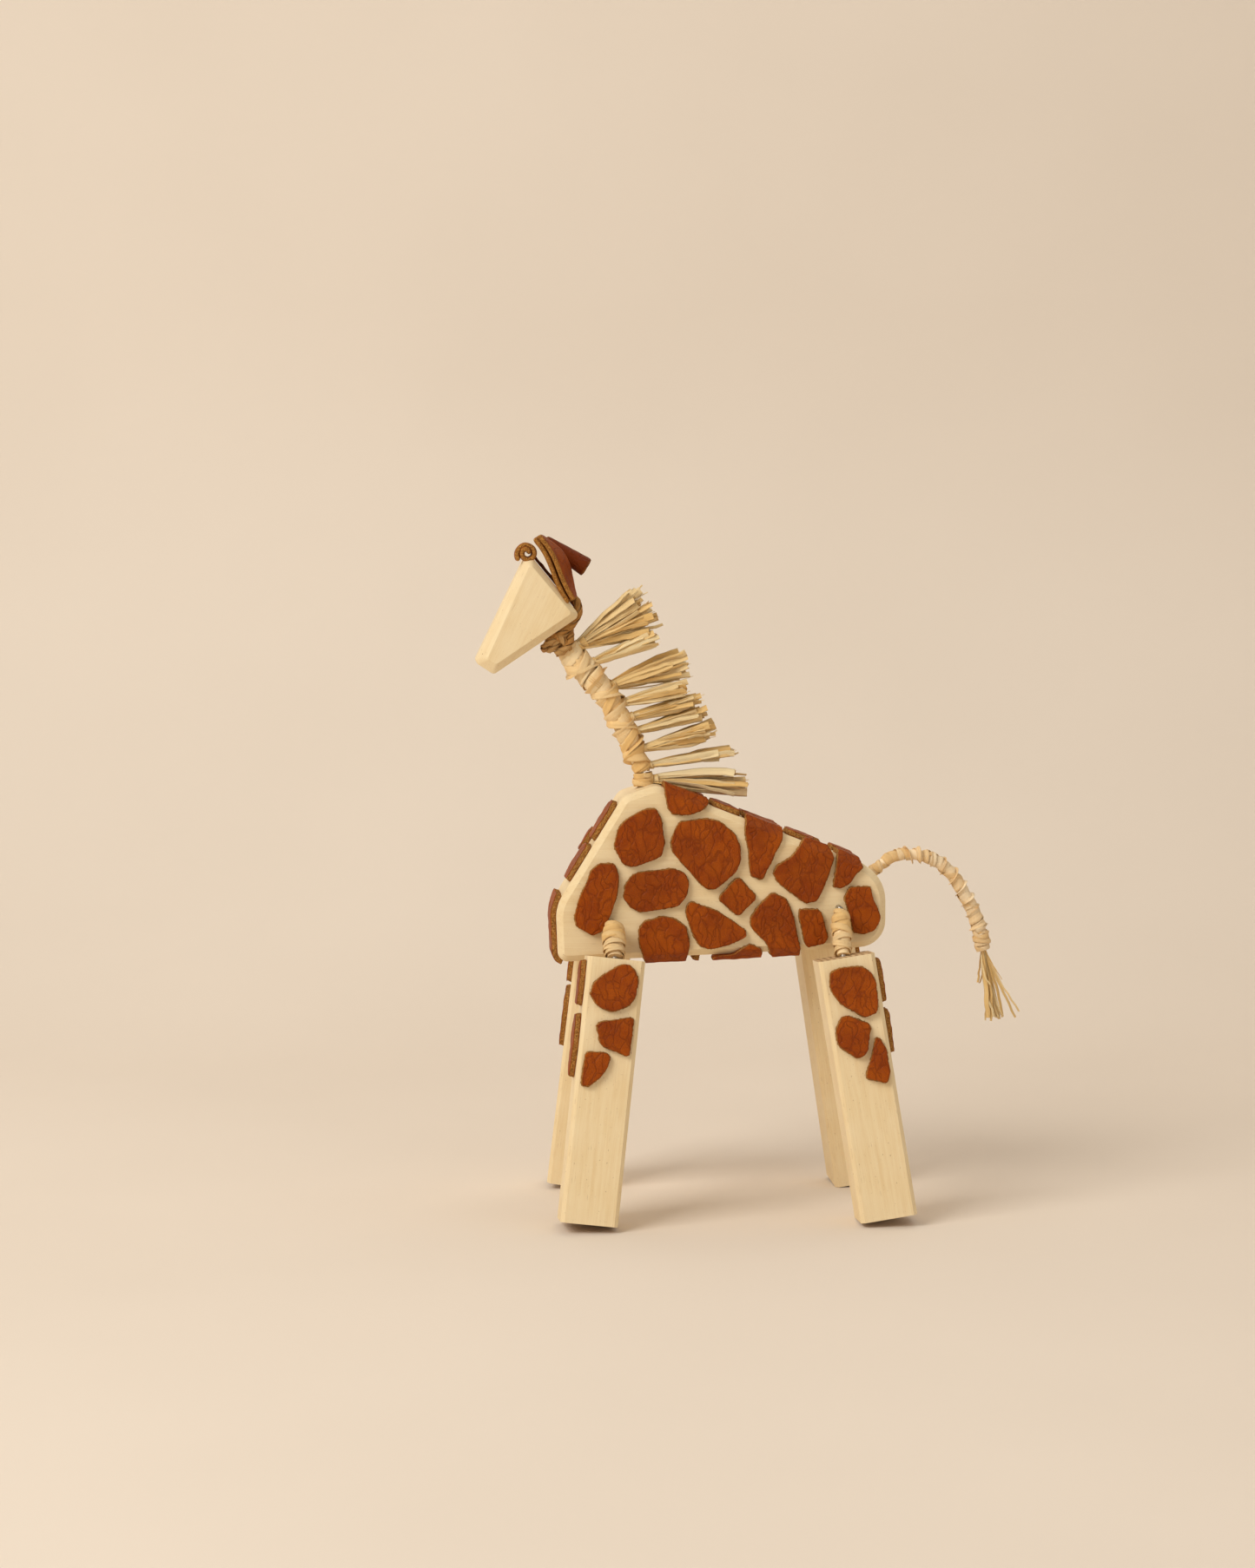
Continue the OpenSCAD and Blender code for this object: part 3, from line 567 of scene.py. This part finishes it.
def rightEarPlace(u, v):
    e = rightEarLook
    way = Vector(e["way"]).normalized()
    a = way.cross(Vector((0, 1, 0))).normalized()
    c = way.cross(a)
    angle = 2 * pi * e["turns"] * u + 0.7
    radius = (e["start"] + e["flare"] * v) * (0.62 + 0.55 * u)
    p = Vector(e["foot"]) + way * e["length"] * v + (a * cos(angle) + c * sin(angle)) * radius
    return (p.x, p.y, p.z)


curlLook = {"centre": (-76.3, 222.4), "nearY": -8.4, "farY": -1.1, "outer": 3.2, "inner": 0.7,
            "from": 215, "sweep": 600, "thick": 1.8}


def curlPlace(u, v):
    e = curlLook
    angle = radians(e["from"] - e["sweep"] * u)
    inward = max(0.0, (u - 0.2) / 0.8)
    radius = e["outer"] - (e["outer"] - e["inner"]) * inward ** 0.75 + 0.2 * sin(5 * u) - 0.2 * v
    y = e["nearY"] + (e["farY"] - e["nearY"]) * v + 0.5 * sin(6 * u)
    z = e["centre"][1] + min(1, inward * 1.6) * 0.9 + sin(angle) * radius
    return (e["centre"][0] + cos(angle) * radius, y, z)


for name, place, columns, rows, look, material, node in (
        ("leftEarLeaf", leftEarPlace, 30, 26, leftEarLook, earHide, "left_ear"),
        ("rightEarRoll", rightEarPlace, 34, 18, rightEarLook, hideShadedCopy, "right_ear"),
        ("forelockRoll", curlPlace, 56, 10, curlLook, earHide, "forelock_curl")):
    addPiece(name, thickSheet(place, columns, rows, look["thick"]), "head", material, [node])
print("ears made")


# ---- raffia ----
def newTree(name, sockets):
    tree = bpy.data.node_groups.new(name, "GeometryNodeTree")
    tree.interface.new_socket("Geometry", in_out="INPUT", socket_type="NodeSocketGeometry")
    ids = {}
    for label, kind in sockets.items():
        socket = tree.interface.new_socket(label, in_out="INPUT", socket_type="NodeSocket" + kind)
        ids[label] = socket.identifier
    tree.interface.new_socket("Geometry", in_out="OUTPUT", socket_type="NodeSocketGeometry")
    board = Board(tree)
    given = board.put("NodeGroupInput")
    return tree, board, given, ids


def closeTree(board, geometry, material):
    real = board.put("GeometryNodeRealizeInstances", None, {"Geometry": geometry})
    smooth = board.put("GeometryNodeSetShadeSmooth", None, {0: real})
    painted = board.put("GeometryNodeSetMaterial", None, {"Geometry": smooth, "Material": material})
    end = board.tree.nodes.new("NodeGroupOutput")
    board.tree.links.new(painted.socket, end.inputs[0])


def buildStrandTree():
    # a fan of flat strips from a root towards a tip
    tree, b, given, ids = newTree("raffiaTuft", {
        "Strips": "Int", "Root": "Vector", "Tip": "Vector", "Rise": "Vector", "Side": "Float",
        "Width": "Float", "Thin": "Float", "Bow": "Float", "Uneven": "Float", "Crumple": "Float",
        "Seed": "Int", "Material": "Material"})
    ask = given.other
    line = b.put("GeometryNodeCurvePrimitiveLine", None, {"Start": (0, 0, 0), "End": (0, 0, 1)})
    line = b.put("GeometryNodeResampleCurve", None, {"Curve": line, "Count": 12})
    points = b.put("GeometryNodeMeshLine", None, {"Count": ask("Strips"), "Offset": (0, 0, 0)})
    placed = b.put("GeometryNodeInstanceOnPoints", None, {"Points": points, "Instance": line})
    index = b.put("GeometryNodeInputIndex")
    placed = b.put("GeometryNodeStoreNamedAttribute", {"data_type": "INT", "domain": "INSTANCE"},
                   {"Geometry": placed, "Name": "stripNo", "Value": index})
    curves = b.put("GeometryNodeRealizeInstances", None, {"Geometry": placed})
    number = b.put("GeometryNodeInputNamedAttribute", {"data_type": "INT"}, {"Name": "stripNo"})
    t = b.put("GeometryNodeSplineParameter")

    def chance(k, low, high):
        return b.put("FunctionNodeRandomValue", {"data_type": "FLOAT"},
                     {"Min": low, "Max": high, "ID": number, "Seed": ask("Seed") + k}, "Value")

    root, tip, rise = ask("Root"), ask("Tip"), ask("Rise")
    run = tip - root
    sideways = b.put("ShaderNodeCombineXYZ", None, {"X": 0.0, "Y": ask("Side"), "Z": 0.0}, "Vector")
    spread = chance(1, -1.0, 1.0)
    tipHere = tip + rise * spread + sideways * chance(2, -1.0, 1.0)
    tipHere = tipHere + run * (chance(3, -1.0, 0.25) * ask("Uneven"))
    rootHere = root + rise * (spread * 0.10) + sideways * chance(4, -0.22, 0.22)
    bow = (rise * chance(5, -1.0, 1.0) + sideways * chance(6, -1.0, 1.0)) * (4 * t * (1 - t) * ask("Bow"))
    place = rootHere + (tipHere - rootHere) * t + bow
    shift = b.put("ShaderNodeCombineXYZ", None,
                  {"X": number * 3.7, "Y": number * 1.3, "Z": ask("Seed")}, "Vector")
    wave = b.cloud(place * 190.0 + shift, 1.0, 3, 0.6, "Color")
    place = place + (wave - (0.5, 0.5, 0.5)) * (ask("Crumple") * (t * 0.85 + 0.15))
    curves = b.put("GeometryNodeSetPosition", None, {"Geometry": curves, "Position": place})
    curves = b.put("GeometryNodeSetCurveNormal", {"mode": "FREE"},
                   {"Curve": curves, "Normal": (0.0, 1.0, 0.0)})
    tilt = chance(7, -1.0, 1.0) + t * chance(8, -0.9, 0.9)
    curves = b.put("GeometryNodeSetCurveTilt", None, {"Curve": curves, "Tilt": tilt})
    for label, value in (("strip", chance(9, 0.0, 1.0)), ("along", t)):
        curves = b.put("GeometryNodeStoreNamedAttribute", {"data_type": "FLOAT", "domain": "POINT"},
                       {"Geometry": curves, "Name": label, "Value": value})
    outline = b.put("GeometryNodeCurvePrimitiveCircle", None, {"Resolution": 8, "Radius": 1.0})
    around = b.put("GeometryNodeSplineParameter")
    outline = b.put("GeometryNodeStoreNamedAttribute", {"data_type": "FLOAT", "domain": "POINT"},
                    {"Geometry": outline, "Name": "across", "Value": b.maths("FRACT", around * 2.0)})
    outline = b.put("GeometryNodeTransform", None, {"Geometry": outline, "Scale": (0.10, 1.0, 1.0)})
    broad = chance(10, 0.0, 1.0)
    taper = 0.62 + 0.50 * t - 0.22 * t * t * t * t
    scale = ask("Width") * (ask("Thin") + (1 - ask("Thin")) * broad) * taper
    mesh = b.put("GeometryNodeCurveToMesh", None,
                 {"Curve": curves, "Profile Curve": outline, "Scale": scale * 0.5, "Fill Caps": True})
    closeTree(b, mesh, ask("Material"))
    return tree, ids


def buildWindingTree():
    # strips wound round a path; the path's points carry "girth"
    tree, b, given, ids = newTree("raffiaWinding", {
        "Strips": "Int", "Turns": "Float", "Width": "Float", "Lift": "Float", "Wander": "Float",
        "Steps": "Int", "From": "Float", "To": "Float", "Core": "Float", "Seed": "Int",
        "Material": "Material"})
    ask = given.other
    path = b.put("GeometryNodeMeshToCurve", None, {"Mesh": given})
    line = b.put("GeometryNodeCurvePrimitiveLine", None, {"Start": (0, 0, 0), "End": (0, 0, 1)})
    line = b.put("GeometryNodeResampleCurve", None, {"Curve": line, "Count": ask("Steps")})
    points = b.put("GeometryNodeMeshLine", None, {"Count": ask("Strips"), "Offset": (0, 0, 0)})
    placed = b.put("GeometryNodeInstanceOnPoints", None, {"Points": points, "Instance": line})
    placed = b.put("GeometryNodeStoreNamedAttribute", {"data_type": "INT", "domain": "INSTANCE"},
                   {"Geometry": placed, "Name": "stripNo", "Value": b.put("GeometryNodeInputIndex")})
    curves = b.put("GeometryNodeRealizeInstances", None, {"Geometry": placed})
    number = b.put("GeometryNodeInputNamedAttribute", {"data_type": "INT"}, {"Name": "stripNo"})
    t = b.put("GeometryNodeSplineParameter")
    along = ask("From") + (ask("To") - ask("From")) * t
    shift = b.put("ShaderNodeCombineXYZ", None,
                  {"X": number * 3.7, "Y": t * ask("Turns") * 2.2, "Z": ask("Seed")}, "Vector")
    sway = b.cloud(shift, 1.0, 2, 0.5) - 0.5
    swell = b.cloud(shift + (5.0, 9.0, 2.0), 1.4, 2, 0.5) - 0.5
    where = b.maths("MINIMUM", b.maths("MAXIMUM", along + sway * ask("Wander"), 0.0), 1.0)
    girth = b.put("GeometryNodeInputNamedAttribute", {"data_type": "FLOAT"}, {"Name": "girth"})
    sample = b.put("GeometryNodeSampleCurve", {"mode": "FACTOR", "use_all_curves": True},
                   {"Curves": path, "Value": girth, "Factor": where}, "Position")
    turn = (t * ask("Turns") + number / b.maths("MAXIMUM", ask("Strips"), 1.0)) * (2 * pi)
    normal, tangent = sample.other("Normal"), sample.other("Tangent")
    cross = b.vector("CROSS_PRODUCT", tangent, normal)
    radial = normal * b.maths("COSINE", turn) + cross * b.maths("SINE", turn)
    reach = sample.other("Value") * (1 + swell * 0.16) + ask("Lift")
    curves = b.put("GeometryNodeSetPosition", None, {"Geometry": curves, "Position": sample + radial * reach})
    curves = b.put("GeometryNodeStoreNamedAttribute", {"data_type": "FLOAT_VECTOR", "domain": "POINT"},
                   {"Geometry": curves, "Name": "outwards", "Value": radial})
    outwards = b.put("GeometryNodeInputNamedAttribute", {"data_type": "FLOAT_VECTOR"}, {"Name": "outwards"})
    curves = b.put("GeometryNodeSetCurveNormal", {"mode": "FREE"}, {"Curve": curves, "Normal": outwards})
    curves = b.put("GeometryNodeSetCurveTilt", None, {"Curve": curves, "Tilt": sway * 0.9 + 0.12})
    tone = b.maths("FRACT", b.maths("FLOOR", t * ask("Turns") * 0.5 + number * 0.37) * 0.618 + 0.1)
    for label, value in (("strip", tone), ("along", t * ask("Turns"))):
        curves = b.put("GeometryNodeStoreNamedAttribute", {"data_type": "FLOAT", "domain": "POINT"},
                       {"Geometry": curves, "Name": label, "Value": value})
    outline = b.put("GeometryNodeCurvePrimitiveCircle", None, {"Resolution": 10, "Radius": 1.0})
    around = b.put("GeometryNodeSplineParameter")
    outline = b.put("GeometryNodeStoreNamedAttribute", {"data_type": "FLOAT", "domain": "POINT"},
                    {"Geometry": outline, "Name": "across", "Value": b.maths("FRACT", around * 2.0)})
    outline = b.put("GeometryNodeTransform", None, {"Geometry": outline, "Scale": (0.17, 1.0, 1.0)})
    ends = b.step(b.maths("ABSOLUTE", t - 0.5), 0.5, 0.44, 0.35, 1.0)
    scale = ask("Width") * 0.5 * (1 + swell * 0.7) * ends
    wound = b.put("GeometryNodeCurveToMesh", None,
                  {"Curve": curves, "Profile Curve": outline, "Scale": scale, "Fill Caps": True})
    ring = b.put("GeometryNodeCurvePrimitiveCircle", None, {"Resolution": 12, "Radius": 1.0})
    core = b.put("GeometryNodeCurveToMesh", None,
                 {"Curve": path, "Profile Curve": ring, "Scale": girth * ask("Core"), "Fill Caps": True})
    both = b.put("GeometryNodeJoinGeometry", None, {"Geometry": wound})
    b.tree.links.new(core.socket, both.socket.node.inputs[0])
    closeTree(b, both, ask("Material"))
    return tree, ids


strandTree, strandIds = buildStrandTree()
windingTree, windingIds = buildWindingTree()


def runTree(tree, ids, mesh, values):
    obj = helper(mesh)
    mod = obj.modifiers.new("nodes", "NODES")
    mod.node_group = tree
    for label, value in values.items():
        mod[ids[label]] = value
    return bake(obj)


def joinMeshes(meshes):
    bm = bmesh.new()
    for mesh in meshes:
        bm.from_mesh(mesh)
    out = bpy.data.meshes.new("joined")
    bm.to_mesh(out)
    bm.free()
    out.shade_smooth()
    return out


def smoothPath(points, per):
    pts = [Vector(p) for p in points]
    pts = [2 * pts[0] - pts[1]] + pts + [2 * pts[-1] - pts[-2]]
    out = []
    for i in range(1, len(pts) - 2):
        a, p, c, d = pts[i - 1], pts[i], pts[i + 1], pts[i + 2]
        for j in range(per):
            t = j / per
            out.append(0.5 * (2 * p + (c - a) * t + (2 * a - 5 * p + 4 * c - d) * t * t
                              + (3 * p - a - 3 * c + d) * t ** 3))
    out.append(pts[-2])
    return out


def pathMesh(points, girths):
    mesh = bpy.data.meshes.new("path")
    mesh.from_pydata([tuple(p * mm) for p in points], [(i, i + 1) for i in range(len(points) - 1)], [])
    pointValues(mesh, "girth", [g * mm for g in girths])
    return mesh


def winding(points, girths, layers, material):
    made = []
    for layer in layers:
        values = {"Strips": 1, "Lift": 0.0, "Wander": 0.012, "From": 0.0, "To": 1.0, "Core": 0.0,
                  "Seed": 1, "Material": material}
        values.update(layer)
        values["Steps"] = max(16, int(abs(values["Turns"]) * 15))
        for key in ("Width", "Lift"):
            values[key] = values[key] * mm
        made.append(runTree(windingTree, windingIds, pathMesh(points, girths), values))
    return joinMeshes(made)


def flat(points, y=0.0):
    return [(x, y, z) for x, z in points]


neckLook = {"girth": 3.15, "path": [
    (-36.5, 149), (-38.5, 153.5), (-41, 159), (-43.5, 165), (-46.5, 171), (-50, 176.5), (-54.5, 181.7),
    (-59, 186.2), (-62.5, 191)]}


def makeNeck():
    path = smoothPath(flat(neckLook["path"]), 5)
    n = len(path)
    girths = [neckLook["girth"] * (0.86 + 0.50 * i / n) * (0.84 + 0.16 * min(1, i / 3, (n - 1 - i) / 3))
              * (1 + 0.09 * sin(i * 1.15)) for i in range(n)]
    layers = [{"Turns": 12.0, "Width": 5.2, "Core": 0.93, "Seed": 3},
              {"Turns": 8.0, "Width": 4.4, "Lift": 0.25, "Seed": 11, "Wander": 0.03},
              {"Turns": -4.2, "Width": 3.6, "Lift": 0.5, "Seed": 21, "Wander": 0.06},
              {"Turns": 3.0, "Width": 3.0, "Lift": 0.7, "Seed": 31, "Wander": 0.06, "From": 0.1, "To": 0.97}]
    mesh = winding(path, girths, layers, woundRaffia)
    return addPiece("neckWinding", mesh, None, woundRaffia, ["neck_wrap"],
                    ("trunk", "neck", (-0.0363, 0, 0.1485), (-0.041, 0, 0.159)))


tailLook = {"girth": 1.85, "path": [
    (45.31, 116.93), (48.5, 119.2), (52, 120.1), (56, 120.1), (60, 119.4), (64, 117.8), (67.5, 115.2),
    (70.5, 111.6), (73, 107.8), (75.3, 103.5), (77.3, 99.3), (78.8, 95.3), (79.8, 91.2)]}


def makeTail():
    path = smoothPath(flat(tailLook["path"]), 4)
    n = len(path)
    girths = [tailLook["girth"] * (0.98 + 0.30 * (i / n) ** 3) * (1 + 0.06 * sin(i * 1.1)) for i in range(n)]
    layers = [{"Turns": 20.0, "Width": 3.4, "Core": 0.94, "Seed": 5, "Wander": 0.006},
              {"Turns": 11.0, "Width": 2.4, "Lift": 0.12, "Seed": 15, "Wander": 0.02},
              {"Turns": -3.0, "Width": 1.8, "Lift": 0.3, "Seed": 25, "Wander": 0.05, "From": 0.3}]
    mesh = winding(path, girths, layers, tailRaffia)
    return addPiece("tailWinding", mesh, None, tailRaffia, ["tail_wrap"],
                    ("trunk", "tail", (0.0445, 0, 0.1163), (0.050, 0, 0.1197)))


def makeKnot(name, body, nodes, points, girths, turns, width, material, seed, extra=()):
    path = smoothPath(points, 4)
    fat = list(np.interp(np.linspace(0, 1, len(path)), np.linspace(0, 1, len(girths)), girths))
    layers = [{"Turns": turns, "Width": width, "Core": 0.9, "Seed": seed, "Wander": 0.05},
              {"Turns": -turns * 0.6, "Width": width * 0.7, "Lift": 0.3, "Seed": seed + 7, "Wander": 0.12}]
    mesh = joinMeshes([winding(path, fat, layers, material), *extra])
    return addPiece(name, mesh, body, material, nodes)


def rope(points, girth, seed, material):
    path = smoothPath(points, 4)
    girths = [girth * (0.8 + 0.2 * min(1, i / 3, (len(path) - 1 - i) / 3)) for i in range(len(path))]
    layers = [{"Turns": 1.6, "Strips": 3, "Width": girth * 1.7, "Core": 0.7, "Seed": seed, "Wander": 0.03}]
    return winding(path, girths, layers, material)


makeNeck()
makeTail()
makeKnot("neckRootKnot", "trunk", ["neck_root_wrap"], [(-36.5, 0, 144.2), (-36.5, 0, 146), (-36.5, 0, 148.2)],
         [3.3, 3.4, 2.7], 2.2, 2.6, woundRaffia, 41)
headRopes = [
    [(-60.0, -3, 208.2), (-58.7, -4.4, 204.9), (-59.5, -4.6, 201.2), (-62.6, -4.8, 197.2), (-66, -4.6, 193),
     (-69, -3, 189.8)],
    [(-60.6, -4.4, 199.6), (-64.6, -5.4, 196.4), (-68.8, -4.4, 192.8), (-70, -1, 190.8), (-68.6, 2.6, 192.6)],
    [(-61.6, -3.4, 190.6), (-63.6, -5.2, 193.4), (-66.6, -5.2, 195.2), (-69.6, -3.4, 194.4)],
    [(-60.0, 3, 208.2), (-58.7, 4.4, 204.9), (-59.5, 4.6, 201.2), (-62.6, 4.8, 197.2), (-66, 4.6, 193),
     (-68.6, 3, 190.4)],
    [(-61.4, -2, 197.4), (-61.6, -4.6, 194.2), (-63, -5, 191.2), (-66.4, -3.6, 189.2)]]
makeKnot("headKnot", "head", ["head_wrap"],
         [(-62.9, 0, 191.6), (-64.0, 0, 193.3), (-65.4, 0, 195.4), (-66.8, 0, 197.4)],
         [3.0, 3.9, 4.1, 3.4], 3.0, 2.1, knotRaffiaPaintedShade, 43,
         [rope(points, 1.15, 60 + i, knotRaffiaPaintedShade) for i, points in enumerate(headRopes)])
makeKnot("tailRootKnot", "trunk", ["tail_root_wrap"], [(41.9, 0, 114.2), (43.4, 0, 115.4), (45.6, 0, 117.1)],
         [1.8, 1.9, 1.5], 2.6, 1.9, tailRaffia, 45)
makeKnot("tailKnot", "tail", ["tail_knot"], [(79.5, 0, 93.4), (80.0, 0, 90.4), (80.4, 0, 87.2)],
         [2.3, 2.9, 2.1], 3.4, 2.0, tailRaffia, 47)

for side, sign in (("left", -1), ("right", 1)):
    for pair, x, z, fat in (("front", -48, 99.2, 3.7), ("rear", 28.5, 103.5, 3.1)):
        start = Vector((x, sign * hipLook["elbowY"], z))
        end = Vector((x, sign * hipLook["legY"], hipLook["legZ"]))
        points = [start.lerp(end, k) for k in (0.05, 0.3, 0.62, 0.97)]
        makeKnot(side + pair.capitalize() + "HipWinding", pair + "_legs", [f"{side}_{pair}_hip_wrap"], points,
                 [fat * 0.66, fat, fat * 0.98, fat * 0.74], 4.6, 3.2, woundRaffia, int(50 + x + sign))
print("windings made")

maneLook = {"strips": 28, "hairs": 9, "width": 3.7, "hairWidth": 0.7, "seed": 100}
tufts = [
    [(-61.5, 190.5), (-34.5, 204.9), 8.0, 6], [(-57, 184.6), (-32.5, 194.6), 2.2, 4.5],
    [(-50.5, 177.2), (-22.5, 185.4), 4.2, 5.5], [(-47, 171.6), (-21.8, 177.4), 2.2, 5],
    [(-44.5, 166.6), (-17.6, 173.6), 1.7, 5], [(-43, 162), (-15.8, 168.8), 1.6, 5],
    [(-40.5, 156), (-13, 162.8), 3, 5.5], [(-38.5, 150.6), (-5.9, 155.4), 1.3, 4.5],
    [(-36.5, 146.4), (-2, 145), 4.2, 5.5]]


def strandFan(root, tip, rise, side, values):
    mesh = bpy.data.meshes.new("seed")
    mesh.from_pydata([(0, 0, 0)], [], [])
    base = {"Root": tuple(Vector(root) * mm), "Tip": tuple(Vector(tip) * mm),
            "Rise": tuple(Vector(rise) * mm), "Side": side * mm, "Bow": 0.25, "Uneven": 0.18,
            "Thin": 0.25, "Crumple": 2.2 * mm, "Material": maneRaffia}
    base.update(values)
    base["Width"] *= mm
    return runTree(strandTree, strandIds, mesh, base)


for i, (root, tip, half, wide) in enumerate(tufts):
    way = Vector((tip[0] - root[0], 0, tip[1] - root[1]))
    up = Vector((-way.z, 0, way.x)).normalized()
    start = Vector((root[0], 0, root[1])) + way.normalized() * (3.0 if i == 0 else 1.6)
    bow = 0.10 if i == 0 else 0.25  # the first stays clear of the head's ropes
    share = 0.7 + 0.5 * half / 4.2
    seed = maneLook["seed"] + 17 * i
    fans = [
        strandFan(start, (tip[0], 0, tip[1]), up * half, wide,
                  {"Strips": int(maneLook["strips"] * share), "Width": maneLook["width"], "Seed": seed,
                   "Bow": bow}),
        strandFan(start, (tip[0] + 0.8, 0, tip[1]), up * half * 1.12, wide * 1.05,
                  {"Strips": int(maneLook["hairs"] * share), "Width": maneLook["hairWidth"], "Seed": seed + 9,
                   "Bow": bow * 1.6})]
    binding = [start + way.normalized() * (k + (1.6 if i == 0 else 0)) for k in (-1.2, 0.4, 2.0, 3.6)]
    fans.append(winding(smoothPath(binding, 3), list(np.linspace(2.1, 1.2, 10) * (0.8 + 0.2 * share)),
                        [{"Turns": 2.6, "Width": 2.2, "Core": 0.8, "Seed": 400 + i, "Wander": 0.1}],
                        maneRaffia))
    body = "trunk" if i == 8 else "neck"  # the last tuft stands on the back
    addPiece(f"maneTuft{i + 1}", joinMeshes(fans), body, maneRaffia, [f"mane_tuft_{i + 1}"])

tuftFans = [
    strandFan((80.4, 0, 87.6), (86.8, 0, 62.6), (6.6, 0, 1.4), 2.8,
              {"Strips": 14, "Width": 1.9, "Seed": 301, "Thin": 0.3, "Bow": 0.22, "Uneven": 0.10,
               "Crumple": 2.6 * mm}),
    strandFan((80.4, 0, 87.6), (84.5, 0, 74), (5.0, 0, 1.0), 2.4,
              {"Strips": 6, "Width": 1.0, "Seed": 311, "Thin": 0.3, "Bow": 0.3, "Uneven": 0.3,
               "Crumple": 2.2 * mm})]
addPiece("tailTuft", joinMeshes(tuftFans), "tail", maneRaffia, ["tail_tuft"])
print("tufts made")

for name in ("front_hip_wire", "rear_hip_wire", "neck_root_wire", "neck_wire", "head_wire",
             "tail_root_wire", "tail_wire"):
    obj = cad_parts[name]
    for slot in obj.material_slots:
        slot.material = plainWire


# ---- camera, lights and floor ----
def makeCamera():
    data = bpy.data.cameras.new("camera")
    data.sensor_width, data.lens = 36, 73.45
    data.clip_start, data.clip_end = 0.05, 20
    obj = bpy.data.objects.new("camera", data)
    obj.location = (-0.1186, -1.0804, 0.2266)
    obj.rotation_euler = (radians(85.68), 0, radians(-4.06))
    bpy.context.scene.collection.objects.link(obj)
    bpy.context.scene.camera = obj


def makeLight(name, place, target, size, power, colour):
    data = bpy.data.lights.new(name, "AREA")
    data.shape, data.size, data.energy, data.color = "SQUARE", size, power, colour
    obj = bpy.data.objects.new(name, data)
    obj.location = place
    obj.rotation_euler = (Vector(target) - Vector(place)).to_track_quat("-Z", "Y").to_euler()
    bpy.context.scene.collection.objects.link(obj)


def makeFloor():
    mat, b, node = newMaterial("paleFloor")
    at = b.put("ShaderNodeTexCoord", None, None, "Object")
    soft = b.cloud(at, 3.0, 3)
    colour = b.blend(b.step(soft, 0.3, 0.7), (0.80, 0.72, 0.63), (0.83, 0.75, 0.66))
    finishSurface(b, node, colour, 0.85, b.cloud(at, 240.0, 3), 0.12, 0.0003)
    bm = bmesh.new()
    bend = [(0.30 + 0.35 * sin(a), 0.35 - 0.35 * cos(a)) for a in np.linspace(0.08, pi / 2, 14)]
    rows = [(-2.2, 0.0), (0.30, 0.0)] + bend + [(0.65, 2.6)]
    grid = [[bm.verts.new((x, y, z)) for x in (-2.6, 2.6)] for y, z in rows]
    for a, c in zip(grid, grid[1:]):
        bm.faces.new((a[0], a[1], c[1], c[0]))
    mesh = bpy.data.meshes.new("floor")
    bm.to_mesh(mesh)
    bm.free()
    mesh.shade_smooth()
    mesh.materials.append(mat)
    obj = bpy.data.objects.new("floor", mesh)
    bpy.context.scene.collection.objects.link(obj)


makeCamera()
makeFloor()
makeLight("key", (-1.1, -0.95, 1.15), (0, 0, 0.12), 0.9, 20, (1.0, 0.95, 0.87))
makeLight("fill", (1.2, -1.1, 0.7), (0, 0, 0.1), 1.4, 3.5, (1.0, 0.90, 0.80))
makeLight("back", (0.2, 0.45, 1.4), (0, 0.1, 0.1), 1.0, 4, (1.0, 0.93, 0.84))
world = bpy.data.worlds.new("studio")
world.use_nodes = True
world.node_tree.nodes["Background"].inputs[0].default_value = (1.0, 0.90, 0.78, 1)
world.node_tree.nodes["Background"].inputs[1].default_value = 0.35
bpy.context.scene.world = world
bpy.context.scene.view_settings.view_transform = "Standard"
